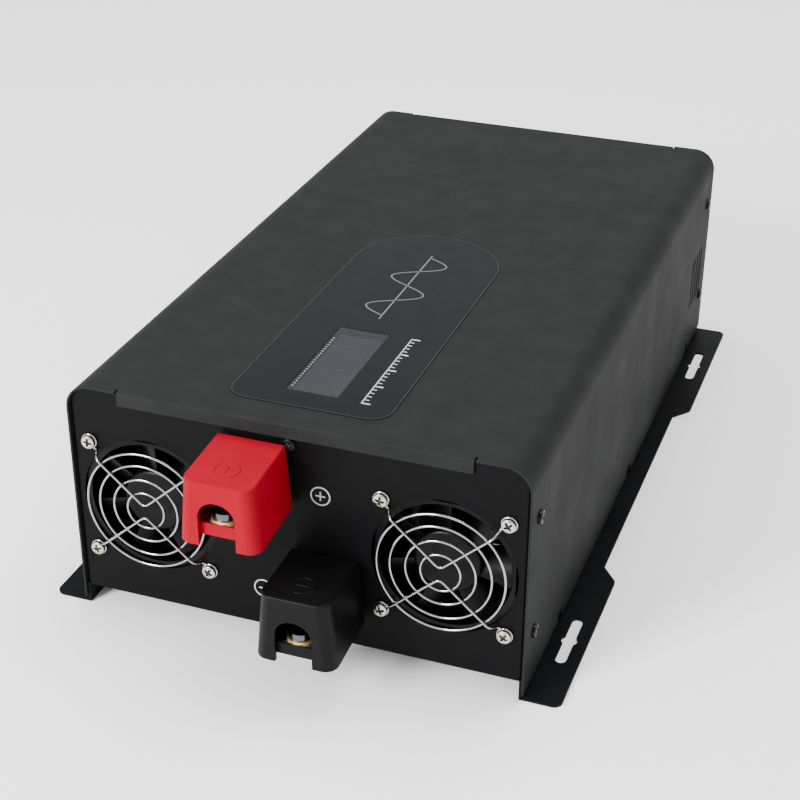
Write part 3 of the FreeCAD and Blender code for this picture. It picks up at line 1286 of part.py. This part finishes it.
make_cover()
make_chassis()
make_front_panel()
make_rear_panel()
make_case_screws()
for end_name, end_side in SIDES:
    make_fan_frame(end_name, end_side)
    make_fan_rotor(end_name, end_side)
    make_fan_guard(end_name, end_side)
make_fan_fasteners()
make_fan_stators()
for pole in POLES:
    make_terminal(*pole)
make_boot("Positive", "positive_x", "positive_boot_z", "positive_boot_fall")
make_boot("Negative", "negative_x", "negative_boot_z", "negative_boot_fall")
make_terminal_fasteners()
make_polarity_marks()
make_display()
make_boards()
make_heatsinks()
make_components()
make_transformer()
make_glands()
make_power_switch()
make_breakers()
make_port_and_stud()
doc.recompute()

for item in doc.Objects:
    if "Invalid" in item.State or "Error" in item.State:
        raise RuntimeError("%s failed: %s" % (item.Name, item.State))
os.makedirs("parts", exist_ok=True)
for item in subparts:
    if item.Shape.isNull() or not item.Shape.isValid():
        raise RuntimeError("%s has no valid shape" % item.Label)
    item.Shape.exportStep(os.path.join("parts", item.Label + ".step"))
    box = item.Shape.BoundBox
    print("%-26s %2d solids  X %7.1f %7.1f  Y %7.1f %7.1f  Z %6.1f %6.1f" % (
        item.Label, len(item.Shape.Solids), box.XMin, box.XMax, box.YMin, box.YMax, box.ZMin, box.ZMax))
print(len(subparts), "sub-parts")
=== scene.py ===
import json
import math

import bmesh
import bpy
from mathutils import Matrix, Vector


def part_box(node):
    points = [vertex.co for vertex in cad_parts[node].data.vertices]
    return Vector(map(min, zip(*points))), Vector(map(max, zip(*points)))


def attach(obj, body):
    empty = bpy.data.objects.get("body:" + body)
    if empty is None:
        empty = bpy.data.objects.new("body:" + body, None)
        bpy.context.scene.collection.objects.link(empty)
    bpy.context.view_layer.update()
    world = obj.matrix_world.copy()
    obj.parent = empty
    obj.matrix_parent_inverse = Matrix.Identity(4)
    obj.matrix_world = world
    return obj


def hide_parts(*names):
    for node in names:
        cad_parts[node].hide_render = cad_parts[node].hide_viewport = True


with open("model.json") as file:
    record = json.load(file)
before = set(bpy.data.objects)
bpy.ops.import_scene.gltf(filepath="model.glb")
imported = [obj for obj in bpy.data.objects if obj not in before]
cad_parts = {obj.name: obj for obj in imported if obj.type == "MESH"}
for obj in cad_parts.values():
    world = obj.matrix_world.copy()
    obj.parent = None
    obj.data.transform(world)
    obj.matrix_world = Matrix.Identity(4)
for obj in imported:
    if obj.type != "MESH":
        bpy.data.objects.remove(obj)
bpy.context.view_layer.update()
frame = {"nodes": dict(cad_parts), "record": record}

MM = 0.001
nodes = frame["nodes"]
slots_of = {part["node"]: part["material_slot"] for part in frame["record"]["subparts"]}


# ---- camera: a three-quarter view from the front right, looking down ----

CAMERA_AZIMUTH = 19.8
CAMERA_ELEVATION = 28.84
CAMERA_ROLL = 0.37
CAMERA_PLACE = Vector((0.3195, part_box("front_panel")[0][1] - 0.7143, 0.5931))
CAMERA_LENS = 75.75


def make_camera():
    data = bpy.data.cameras.new("camera")
    data.lens = CAMERA_LENS
    data.sensor_width = 36
    camera = bpy.data.objects.new("camera", data)
    bpy.context.scene.collection.objects.link(camera)
    turn = Matrix.Rotation(math.radians(CAMERA_AZIMUTH), 4, "Z")
    tilt = Matrix.Rotation(math.radians(90 - CAMERA_ELEVATION), 4, "X")
    roll = Matrix.Rotation(math.radians(CAMERA_ROLL), 4, "Z")
    camera.matrix_world = Matrix.Translation(CAMERA_PLACE) @ turn @ tilt @ roll
    bpy.context.scene.camera = camera


# ---- studio ----

WORLD_STRENGTH = 1.15
FLOOR_HALF = 6
FLOOR_DROP = 0.2 * MM
FLOOR_SHADE = 0.96
KEY_POWER, OVERHEAD_POWER = 120, 65


def area_light(name, place, target, size, power):
    data = bpy.data.lights.new(name, "AREA")
    data.shape = "RECTANGLE"
    data.size, data.size_y = size
    data.energy = power
    light = bpy.data.objects.new(name, data)
    bpy.context.scene.collection.objects.link(light)
    light.location = place
    light.rotation_euler = (Vector(target) - Vector(place)).to_track_quat("-Z", "Y").to_euler()


def make_studio():
    world = bpy.data.worlds.new("studio")
    bpy.context.scene.world = world
    world.use_nodes = True
    world.node_tree.nodes["Background"].inputs["Color"].default_value = (1, 1, 1, 1)
    world.node_tree.nodes["Background"].inputs["Strength"].default_value = WORLD_STRENGTH

    bm = bmesh.new()
    bmesh.ops.create_grid(bm, x_segments=1, y_segments=1, size=FLOOR_HALF)
    mesh = bpy.data.meshes.new("floor")
    bm.to_mesh(mesh)
    bm.free()
    floor = bpy.data.objects.new("floor", mesh)
    floor.location.z = -FLOOR_DROP
    bpy.context.scene.collection.objects.link(floor)
    paint = bpy.data.materials.new("floor_paper")
    paint.use_nodes = True
    shader = paint.node_tree.nodes["Principled BSDF"]
    shader.inputs["Base Color"].default_value = (FLOOR_SHADE, FLOOR_SHADE, FLOOR_SHADE, 1)
    shader.inputs["Roughness"].default_value = 0.9
    floor.data.materials.append(paint)

    area_light("key", (-1.1, -2.0, 1.15), (0, -0.15, 0.1), (0.8, 0.8), KEY_POWER)
    area_light("overhead", (0.3, 0.5, 2.4), (0, 0, 0.1), (1.6, 1.6), OVERHEAD_POWER)


# ---- materials ----

class Shade:
    """A node material with a Principled shader, a few helpers, and metres as its texture space."""

    def __init__(self, name, colour, roughness, metallic=0.0, specular=0.5):
        self.material = bpy.data.materials.new(name)
        self.material.use_nodes = True
        self.tree = self.material.node_tree
        self.shader = self.tree.nodes["Principled BSDF"]
        self.colour = colour
        self.shader.inputs["Base Color"].default_value = (*colour, 1)
        self.shader.inputs["Roughness"].default_value = roughness
        self.shader.inputs["Metallic"].default_value = metallic
        self.shader.inputs["Specular IOR Level"].default_value = specular
        self.place = self.tree.nodes.new("ShaderNodeTexCoord").outputs["Object"]
        self.roughness = roughness

    def node(self, kind, **inputs):
        item = self.tree.nodes.new(kind)
        for name, value in inputs.items():
            socket = item.inputs[name.replace("_", " ")]
            if hasattr(value, "is_linked"):
                self.tree.links.new(value, socket)
            else:
                socket.default_value = value
        return item

    def noise(self, scale, detail=3.0, stretch=(1, 1, 1)):
        place = self.place
        if stretch != (1, 1, 1):
            place = self.node("ShaderNodeMapping", Vector=self.place, Scale=stretch).outputs["Vector"]
        return self.node("ShaderNodeTexNoise", Vector=place, Scale=scale, Detail=detail).outputs["Fac"]

    def spread(self, value, low, high):
        """Stretches the middle of a noise value over a range."""
        item = self.node("ShaderNodeMapRange", Value=value)
        sockets = {"From Min": 0.3, "From Max": 0.7, "To Min": low, "To Max": high}
        for name, number in sockets.items():
            item.inputs[name].default_value = number
        return item.outputs["Result"]

    def mottle(self, value, low, high):
        """Varies the base colour between two multiples of itself."""
        mix = self.tree.nodes.new("ShaderNodeMix")
        mix.data_type = "RGBA"
        self.tree.links.new(self.spread(value, 0, 1), mix.inputs[0])
        mix.inputs[6].default_value = (*[channel * low for channel in self.colour], 1)
        mix.inputs[7].default_value = (*[min(1, channel * high) for channel in self.colour], 1)
        self.tree.links.new(mix.outputs[2], self.shader.inputs["Base Color"])
        return self

    def vary_roughness(self, value, amount):
        low, high = self.roughness - amount, self.roughness + amount
        self.tree.links.new(self.spread(value, low, high), self.shader.inputs["Roughness"])
        return self

    def add_bump(self, height, depth):
        """Adds a bump of real depth in metres."""
        bump = self.node("ShaderNodeBump", Height=height, Distance=depth, Strength=1.0)
        self.tree.links.new(bump.outputs["Normal"], self.shader.inputs["Normal"])
        return self


def powder_coat(name, colour, roughness, grain, depth):
    """Oven-baked powder paint: an orange-peel grain, faint mottling and uneven gloss."""
    shade = Shade(name, colour, roughness, specular=0.06)
    fine = shade.noise(grain, 2.0)
    shade.mottle(shade.noise(60, 4.0), 0.88, 1.14)
    shade.vary_roughness(shade.noise(25, 3.0), 0.05)
    return shade.add_bump(fine, depth)


def plated(name, colour, roughness, brush=0.0):
    """Plated metal with faint handling marks."""
    shade = Shade(name, colour, roughness, metallic=1.0)
    shade.vary_roughness(shade.noise(400, 3.0), min(roughness * 0.4, 0.08))
    shade.mottle(shade.noise(150, 3.0), 0.9, 1.05)
    return shade.add_bump(shade.noise(900, 2.0, (1, 1, 1 + brush)), 0.00002)


def moulded(name, colour, roughness, grain=1500, depth=0.00003, specular=0.4):
    """Injection-moulded plastic with a fine spark-eroded texture."""
    shade = Shade(name, colour, roughness, specular=specular)
    shade.mottle(shade.noise(45, 3.0), 0.94, 1.05)
    shade.vary_roughness(shade.noise(80, 3.0), 0.04)
    return shade.add_bump(shade.noise(grain, 2.0), depth)


LENS_ALPHA = 0.1


def make_materials():
    shades = {
        "cover_paint": powder_coat("cover_paint", (0.0128, 0.0132, 0.0132), 0.66, 1100, 0.00014),
        "panel_paint": powder_coat("panel_paint", (0.0022, 0.0022, 0.0026), 0.42, 1400, 0.00006),
        "chassis_paint": powder_coat("chassis_paint", (0.0026, 0.0028, 0.0034), 0.45, 1400, 0.00006),
        "black_screw": plated("black_screw", (0.014, 0.014, 0.015), 0.25),
        "nickel_screw": plated("nickel_screw", (0.5, 0.46, 0.39), 0.2),
        "zinc_nut": plated("zinc_nut", (0.62, 0.63, 0.64), 0.35),
        "chrome_wire": plated("chrome_wire", (0.36, 0.36, 0.37), 0.12),
        "fan_plastic": moulded("fan_plastic", (0.0012, 0.0012, 0.0014), 0.34, specular=0.12),
        "stator_steel": plated("stator_steel", (0.2, 0.2, 0.2), 0.5),
        "red_plastic": moulded("red_plastic", (0.25, 0.0001, 0.01), 0.6, specular=0.05),
        "black_plastic": moulded("black_plastic", (0.002, 0.002, 0.0023), 0.42, specular=0.1),
        "busbar_metal": plated("busbar_metal", (0.78, 0.75, 0.7), 0.3, brush=6),
        "bolt_zinc": plated("bolt_zinc", (0.1, 0.105, 0.12), 0.2),
        "washer_yellow": plated("washer_yellow", (0.7, 0.5, 0.22), 0.5),
        "ink": moulded("ink", (0.42, 0.42, 0.42), 0.6),
        "label_film": moulded("label_film", (0.0058, 0.0063, 0.007), 0.36, 2200, 0.00002, specular=0.06),
        "clear_lens": moulded("clear_lens", (0.039, 0.041, 0.0455), 0.12, 800, 0.000002, specular=0),
        "lcd_glass": moulded("lcd_glass", (0.039, 0.041, 0.0455), 0.35, 800, 0.000002, specular=0),
        "circuit_board": moulded("circuit_board", (0.02, 0.14, 0.05), 0.4),
        "heatsink_metal": plated("heatsink_metal", (0.62, 0.63, 0.65), 0.4, brush=20),
        "component_black": moulded("component_black", (0.02, 0.02, 0.02), 0.5),
        "capacitor_sleeve": moulded("capacitor_sleeve", (0.02, 0.04, 0.1), 0.25),
        "relay_case": moulded("relay_case", (0.03, 0.1, 0.35), 0.35),
        "strip_green": moulded("strip_green", (0.03, 0.25, 0.08), 0.45),
        "winding_copper": plated("winding_copper", (0.6, 0.2, 0.06), 0.25),
        "core_steel": plated("core_steel", (0.3, 0.3, 0.32), 0.45),
        "pad_rubber": moulded("pad_rubber", (0.02, 0.02, 0.02), 0.7),
        "gland_nylon": moulded("gland_nylon", (0.018, 0.018, 0.02), 0.5),
        "rocker_plastic": moulded("rocker_plastic", (0.012, 0.012, 0.012), 0.18),
        "button_plastic": moulded("button_plastic", (0.75, 0.75, 0.72), 0.3),
    }
    # The lens has the display's own shade and neither of them a highlight: with one, a render with few
    # samples speckles there. A real lens would reflect.
    shades["clear_lens"].shader.inputs["Alpha"].default_value = LENS_ALPHA
    materials = {slot: shade.material for slot, shade in shades.items()}
    for name, item in nodes.items():
        item.data.materials.clear()
        item.data.materials.append(materials[slots_of[name]])
    return materials


make_camera()
make_studio()
materials = make_materials()


# ---- pieces drawn in more detail than the CAD ----

def mesh_object(name, bm, smooth=True):
    mesh = bpy.data.meshes.new(name)
    bm.normal_update()
    bm.to_mesh(mesh)
    bm.free()
    if smooth:
        for face in mesh.polygons:
            face.use_smooth = True
    item = bpy.data.objects.new(name, mesh)
    bpy.context.scene.collection.objects.link(item)
    return item


def wire_object(name, lines, radius):
    """One curve object of round wire. Each line is (points, closed)."""
    data = bpy.data.curves.new(name, "CURVE")
    data.dimensions = "3D"
    data.bevel_depth = radius
    data.bevel_resolution = 3
    data.use_fill_caps = True
    for points, closed in lines:
        spline = data.splines.new("POLY")
        spline.points.add(len(points) - 1)
        for target, point in zip(spline.points, points):
            target.co = (*point, 1)
        spline.use_cyclic_u = closed
    item = bpy.data.objects.new(name, data)
    bpy.context.scene.collection.objects.link(item)
    return item


def finish_piece(item, slot_name, body="case", stands_for=(), look=None):
    """Gives a piece its material, its body and its slot. look overrides the slot's usual material."""
    item.data.materials.append(look or materials[slot_name])
    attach(item, body)
    if stands_for:
        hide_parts(*stands_for)
    return item


def circle(centre, radius, across, up, count=72, start=0.0, sweep=math.tau):
    """Points round an arc in the plane of two unit vectors."""
    steps = count if sweep == math.tau else count + 1
    return [centre + radius * (math.cos(start + sweep * i / count) * across
                               + math.sin(start + sweep * i / count) * up) for i in range(steps)]


def rounded_path(corners, reaches, steps=8):
    """A path through corners. Each inner corner becomes a curve that starts and ends its reach away."""
    path = [corners[0]]
    for i in range(1, len(corners) - 1):
        before = corners[i] + (corners[i - 1] - corners[i]).normalized() * reaches[i - 1]
        after = corners[i] + (corners[i + 1] - corners[i]).normalized() * reaches[i - 1]
        for j in range(steps + 1):
            t = j / steps
            path.append((1 - t) ** 2 * before + 2 * t * (1 - t) * corners[i] + t * t * after)
    return path + [corners[-1]]


# ---- fan guards ----

ACROSS = Vector((1, 0, 0))
ALONG = Vector((0, 1, 0))
UP = Vector((0, 0, 1))
GUARD_RINGS = (11.4 * MM, 20 * MM, 29 * MM, 36.6 * MM)
GUARD_WIRE = 0.72 * MM
SCREW_OFFSET = 35.75 * MM
LOOP_RADIUS = 4.2 * MM
LOOP_TURN = math.radians(-350)
LOOP_START = math.radians(20)
HEEL_REACH = 6.4 * MM
KNEE_OFFSET = 28.6 * MM
APEX_OFFSET = 3.2 * MM
BENDS = (1.8 * MM, 3 * MM, 3.4 * MM, 3 * MM, 1.8 * MM)
RING_STANDOFF = 6 * MM
CROSS_LIFT = 1.9 * GUARD_WIRE


def guard_cross(centre, panel_y, ring_y, up):
    """One bent wire: loop round a screw, up to the rings, across them, and back to the other screw."""
    cross_y = ring_y - CROSS_LIFT
    ends = []
    for out in (-1, 1):
        screw = centre + Vector((out * SCREW_OFFSET, 0, up * SCREW_OFFSET))
        screw.y = panel_y - GUARD_WIRE
        inward = Vector((-out, 0, -up)).normalized()
        side = Vector((inward.z, 0, -inward.x))
        loop = circle(screw, LOOP_RADIUS, inward, side, 36, LOOP_START, LOOP_TURN)
        heel = screw + inward * HEEL_REACH
        knee = centre + Vector((out * KNEE_OFFSET, 0, up * KNEE_OFFSET))
        knee.y = cross_y
        ends.append((list(reversed(loop)), heel, knee))
    apex = centre + Vector((0, 0, up * APEX_OFFSET))
    apex.y = cross_y
    corners = [ends[0][0][-1], ends[0][1], ends[0][2], apex, ends[1][2], ends[1][1], ends[1][0][-1]]
    middle = rounded_path(corners, BENDS)
    return ends[0][0][:-1] + middle + list(reversed(ends[1][0]))[1:]


def make_guard(side):
    low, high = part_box(side + "_fan_guard")
    centre = (Vector(low) + Vector(high)) / 2
    panel_y = high[1]
    ring_y = panel_y - RING_STANDOFF
    lines = []
    for radius in GUARD_RINGS:
        middle = Vector((centre.x, ring_y, centre.z))
        lines.append((circle(middle, radius, ACROSS, UP, 96), True))
    for up in (-1, 1):
        lines.append((guard_cross(centre, panel_y, ring_y, up), False))
    guard = wire_object(side + "_guard_wires", lines, GUARD_WIRE)
    finish_piece(guard, "chrome_wire", stands_for=[side + "_fan_guard"])


# ---- cross-recessed screws ----

GUARD_SCREW_HEAD, GUARD_SCREW_HEIGHT = 4.2 * MM, 2.55 * MM
CASE_SCREW_HEAD, CASE_SCREW_HEIGHT = 4.1 * MM, 2.5 * MM
CAD_SCREW_HEAD = 4.2 * MM
FIRST_TURN, GUARD_TURN_STEP, COVER_TURN_STEP = 0.3, 1.17, 0.83
FRONT_PANEL_TURN, REAR_PANEL_TURN = 0.6, 0.2


def screw_top(radius, height):
    """Height of a domed head at a point, with a tapered cross recess, and whether the point is in it."""
    width, reach, depth = 0.46 * radius, 0.66 * radius, 0.66 * height
    crown_fall, arm_taper = 0.35, 0.35
    rim, rim_height, rim_fall = 0.92, 0.7, 0.75
    end_slope, wall_slope = 0.3 * reach, 0.18 * width

    def level(x, y):
        distance = math.hypot(x, y) / radius
        dome = height * (1 - crown_fall * distance ** 2)
        if distance > rim:
            dome = height * rim_height * (1 - ((distance - rim) / (1 - rim)) ** 2 * rim_fall)
        for a, b in ((x, y), (y, x)):
            half = width / 2 * (1 - arm_taper * abs(a) / reach)
            if abs(a) < reach and abs(b) < half:
                run = min(1.0, (reach - abs(a)) / end_slope)
                wall = min(1.0, (half - abs(b)) / wall_slope)
                return dome - depth * min(run, wall), True
        return dome, False
    return level


def screw_heads(name, places, radius, height, slot_name, stands_for):
    """Pan heads, each at (place, turn, direction it faces), with painted shade: a darker metal inside the
    cross recess.
    """
    bm = bmesh.new()
    rings = 26
    spokes = 72
    level = screw_top(radius, height)
    painted_shade_verts = set()
    for place, turn, out in places:
        basis = Vector(out).to_track_quat("Z", "Y").to_matrix().to_4x4()
        frame_at = Matrix.Translation(place) @ basis @ Matrix.Rotation(turn, 4, "Z")
        grid = []
        for i in range(1, rings + 1):
            distance = radius * (i / rings)
            ring = []
            for j in range(spokes):
                angle = math.tau * j / spokes
                x, y = distance * math.cos(angle), distance * math.sin(angle)
                z, recessed = level(x, y)
                ring.append(bm.verts.new(frame_at @ Vector((x, y, z))))
                if recessed:
                    painted_shade_verts.add(ring[-1])
            grid.append(ring)
        foot = circle(Vector(), radius, ACROSS, ALONG, spokes)
        grid.append([bm.verts.new(frame_at @ point) for point in foot])
        middle = bm.verts.new(frame_at @ Vector((0, 0, level(0, 0)[0])))
        painted_shade_verts.add(middle)
        for j in range(spokes):
            bm.faces.new((middle, grid[0][j], grid[0][(j + 1) % spokes]))
        for inner, outer in zip(grid, grid[1:]):
            for j in range(spokes):
                k = (j + 1) % spokes
                bm.faces.new((inner[j], outer[j], outer[k], inner[k]))
    # Faces wholly inside the cross recess get the second material. It is painted shade, a darker metal
    # that stands in for the shade in the recess.
    for face in bm.faces:
        face.material_index = int(all(corner in painted_shade_verts for corner in face.verts))
    item = finish_piece(mesh_object(name, bm), slot_name, stands_for=stands_for)
    # The second material is the painted shade of the recess: a dark brownish metal.
    item.data.materials.append(plated(name + "_recess_painted_shade", (0.09, 0.08, 0.065), 0.45).material)


def make_screws():
    panel_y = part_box("front_panel")[0][1]
    rear_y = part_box("rear_panel")[1][1]
    low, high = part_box("cover_screws")
    places = []
    turn = FIRST_TURN
    for side in ("left", "right"):
        box_low, box_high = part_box(side + "_fan_guard")
        centre = (Vector(box_low) + Vector(box_high)) / 2
        for dx in (-1, 1):
            for dz in (-1, 1):
                x, z = centre.x + dx * SCREW_OFFSET, centre.z + dz * SCREW_OFFSET
                place = Vector((x, panel_y - 2 * GUARD_WIRE, z))
                places.append((place, turn, (0, -1, 0)))
                turn += GUARD_TURN_STEP
    screw_heads("guard_screw_heads", places, GUARD_SCREW_HEAD, GUARD_SCREW_HEIGHT, "nickel_screw",
                ["fan_guard_screws"])

    places = []
    for out, x in ((-1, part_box("top_cover")[0][0]), (1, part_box("top_cover")[1][0])):
        for y in (low[1] + CAD_SCREW_HEAD, high[1] - CAD_SCREW_HEAD):
            for z in (low[2] + CAD_SCREW_HEAD, high[2] - CAD_SCREW_HEAD):
                places.append((Vector((x, y, z)), turn, (out, 0, 0)))
                turn += COVER_TURN_STEP
    screw_heads("cover_screw_heads", places, CASE_SCREW_HEAD, CASE_SCREW_HEIGHT, "black_screw",
                ["cover_screws"])

    low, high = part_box("panel_screws")
    middle = [(low[i] + high[i]) / 2 for i in range(3)]
    places = [(Vector((middle[0], panel_y, middle[2])), FRONT_PANEL_TURN, (0, -1, 0)),
              (Vector((middle[0], rear_y, middle[2])), REAR_PANEL_TURN, (0, 1, 0))]
    screw_heads("panel_screw_heads", places, CASE_SCREW_HEAD, CASE_SCREW_HEIGHT, "black_screw",
                ["panel_screws"])


# ---- embossing on the boots ----

BOOT_SLOPE = {"positive": 3.5 / 49.5, "negative": 0.4 / 49.5}
EMBOSS_RING = 7 * MM
EMBOSS_ARM = 3.4 * MM
EMBOSS_WIRE = 0.42 * MM
EMBOSS_FROM_FRONT = 15.5 * MM
EMBOSS_SINK = 0.08 * MM


def make_boot_marks():
    """A raised ring with a plus or a minus sign on top of each boot, following its slope."""
    for pole, slope in BOOT_SLOPE.items():
        low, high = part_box(pole + "_terminal_boot")
        centre = Vector(((low[0] + high[0]) / 2, low[1] + EMBOSS_FROM_FRONT, high[2] - EMBOSS_SINK))

        def on_top(point):
            return Vector((point.x, point.y, centre.z - (high[1] - point.y) * slope))

        lines = [([on_top(point) for point in circle(centre, EMBOSS_RING, ACROSS, ALONG, 64)], True)]
        for arm in (ACROSS, ALONG) if pole == "positive" else (ACROSS, ):
            lines.append(([on_top(centre - EMBOSS_ARM * arm), on_top(centre + EMBOSS_ARM * arm)], False))
        mark = wire_object(pole + "_boot_emboss", lines, EMBOSS_WIRE)
        finish_piece(mark, "red_plastic" if pole == "positive" else "black_plastic", pole + "_boot")


# ---- print on the display overlay ----

def ribbon(bm, points, width, z, closed=False):
    """A flat strip of print along points in the XY plane."""
    count = len(points)
    rails = []
    for i, point in enumerate(points):
        before = points[i - 1] if i or closed else point
        after = points[(i + 1) % count] if i + 1 < count or closed else point
        run = (Vector(after) - Vector(before)).normalized()
        side = Vector((-run.y, run.x)) * width / 2
        rails.append((bm.verts.new((point[0] - side.x, point[1] - side.y, z)),
                      bm.verts.new((point[0] + side.x, point[1] + side.y, z))))
    for i in range(count if closed else count - 1):
        j = (i + 1) % count
        bm.faces.new((rails[i][0], rails[j][0], rails[j][1], rails[i][1]))


LABEL_HALF = 48 * MM
LABEL_CORNER = 13 * MM
FILM_BEVEL = 0.12 * MM
WINDOW_GAP = 0.2 * MM
FILM_SINK, PRINT_SINK, BORDER_SINK = 0.06 * MM, 0.02 * MM, 0.03 * MM
BORDER_INSET, BORDER_LINE = 0.7 * MM, 0.3 * MM
WAVE_STEPS = 160
AXIS_START, AXIS_END = 135 * MM, 233 * MM
WAVE_START, WAVE_END = 140 * MM, 230 * MM
WAVE_HEIGHT = 14.3 * MM
WAVE_LINE = 0.95 * MM
SCALE_X = 27.7 * MM
SCALE_START, SCALE_LENGTH = 34 * MM, 82 * MM
SCALE_LINE = 0.7 * MM
TICKS, LONG_EVERY = 21, 5
LONG_TICK, LONG_TICK_LINE = 5.2 * MM, 1.3 * MM
SHORT_TICK, SHORT_TICK_LINE = 3.0 * MM, 0.8 * MM


def label_outline(inset, low, high):
    """The overlay's edge: a straight front with two round corners, and a semicircular rear end."""
    corner = LABEL_CORNER - inset
    round_y = high[1] - LABEL_HALF
    half = LABEL_HALF - inset
    corner_y = low[1] + LABEL_CORNER
    quarter = math.pi / 2
    arcs = ((half - corner, corner_y, corner, -quarter, quarter), (0, round_y, half, 0, math.pi),
            (corner - half, corner_y, corner, math.pi, quarter))
    points = []
    for x, y, radius, start, sweep in arcs:
        arc = circle(Vector((x, y, 0)), radius, ACROSS, ALONG, 30, start, sweep)
        points += [(point.x, point.y) for point in arc]
    return points


def make_label():
    low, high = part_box("display_label")
    window_low, window_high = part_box("display_lens")
    panel_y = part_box("front_panel")[0][1]
    gap = WINDOW_GAP
    film_top = high[2] - FILM_SINK
    print_z = high[2] - PRINT_SINK

    bm = bmesh.new()
    levels = ((0, low[2]), (0, film_top - FILM_BEVEL), (FILM_BEVEL, film_top))
    loops = [[bm.verts.new((x, y, z)) for x, y in label_outline(inset, low, high)] for inset, z in levels]
    count = len(loops[0])
    for lower, upper in zip(loops, loops[1:]):
        for i in range(count):
            j = (i + 1) % count
            bm.faces.new((lower[i], lower[j], upper[j], upper[i]))
    hole = [(window_low[0] - gap, window_low[1] - gap), (window_high[0] + gap, window_low[1] - gap),
            (window_high[0] + gap, window_high[1] + gap), (window_low[0] - gap, window_high[1] + gap)]
    top_hole = [bm.verts.new((x, y, film_top)) for x, y in hole]
    low_hole = [bm.verts.new((x, y, low[2])) for x, y in hole]
    for i in range(4):
        j = (i + 1) % 4
        bm.faces.new((top_hole[i], top_hole[j], low_hole[j], low_hole[i]))
    edges = [bm.edges.get((loops[-1][i], loops[-1][(i + 1) % count])) for i in range(count)]
    edges += [bm.edges.get((top_hole[i], top_hole[(i + 1) % 4])) for i in range(4)]
    bmesh.ops.triangle_fill(bm, edges=edges, use_beauty=True)
    film = mesh_object("overlay_film", bm, smooth=False)
    finish_piece(film, "label_film", stands_for=["display_label"])

    bm = bmesh.new()
    ribbon(bm, [(0, panel_y + AXIS_START), (0, panel_y + AXIS_END)], WAVE_LINE, print_z)
    wave = []
    for i in range(WAVE_STEPS + 1):
        t = i / WAVE_STEPS
        along = WAVE_START + (WAVE_END - WAVE_START) * t
        wave.append((-WAVE_HEIGHT * math.sin(2 * math.tau * t), panel_y + along))
    ribbon(bm, wave, WAVE_LINE, print_z)
    sine = mesh_object("overlay_wave_print", bm, smooth=False)
    wave_ink = moulded("wave_ink", (0.11, 0.115, 0.12), 0.5).material
    finish_piece(sine, "ink", look=wave_ink)

    bm = bmesh.new()
    start, end = panel_y + SCALE_START, panel_y + SCALE_START + SCALE_LENGTH
    ribbon(bm, [(SCALE_X, start), (SCALE_X, end)], SCALE_LINE, print_z)
    for i in range(TICKS):
        y = start + SCALE_LENGTH * i / (TICKS - 1)
        length, line = (SHORT_TICK, SHORT_TICK_LINE) if i % LONG_EVERY else (LONG_TICK, LONG_TICK_LINE)
        ribbon(bm, [(SCALE_X, y), (SCALE_X + length, y)], line, print_z)
    ticks = mesh_object("overlay_scale_print", bm, smooth=False)
    finish_piece(ticks, "ink")

    bm = bmesh.new()
    ribbon(bm, label_outline(BORDER_INSET, low, high), BORDER_LINE, high[2] - BORDER_SINK, closed=True)
    border = mesh_object("overlay_border_print", bm, smooth=False)
    edge_ink = moulded("edge_ink", (0.022, 0.024, 0.024), 0.45).material
    finish_piece(border, "ink", look=edge_ink)


def make_display_face():
    """What shows through the lens: a flat face, darker margins and a row of contact dots.

    They lie just above the CAD screen, within the lens's thickness.
    """
    low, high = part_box("lcd_screen")
    edge = 0.3 * MM
    face_z, margin_z, dot_z = (high[2] + lift * MM for lift in (0.1, 0.16, 0.2))
    bm = bmesh.new()
    middle = (low[0] + high[0]) / 2
    ribbon(bm, [(middle, low[1] + edge), (middle, high[1] - edge)], high[0] - low[0] - 2 * edge, face_z)
    finish_piece(mesh_object("lcd_face", bm, smooth=False), "lcd_glass")

    bm = bmesh.new()
    far, left = 9 * MM, 4.2 * MM
    far_y, left_x = high[1] - far / 2, low[0] + left / 2
    ribbon(bm, [(low[0] + edge, far_y), (high[0] - edge, far_y)], far - 2 * edge, margin_z)
    ribbon(bm, [(left_x, low[1] + edge), (left_x, high[1] - far)], left - 2 * edge, margin_z)
    margin = moulded("lcd_margin", (0.031, 0.033, 0.0362), 0.35, 800, 0.000002, specular=0).material
    finish_piece(mesh_object("lcd_margins", bm, smooth=False), "lcd_glass", look=margin)

    bm = bmesh.new()
    dots, first, run, radius = 22, 5 * MM, 62 * MM, 0.5 * MM
    for i in range(dots):
        place = Vector((left_x, low[1] + first + run * i / (dots - 1), dot_z))
        bm.faces.new([bm.verts.new(point) for point in circle(place, radius, ACROSS, ALONG, 10)])
    finish_piece(mesh_object("lcd_contact_dots", bm, smooth=False), "ink")


for guard_side in ("left", "right"):
    make_guard(guard_side)
make_screws()
make_boot_marks()
make_label()
make_display_face()
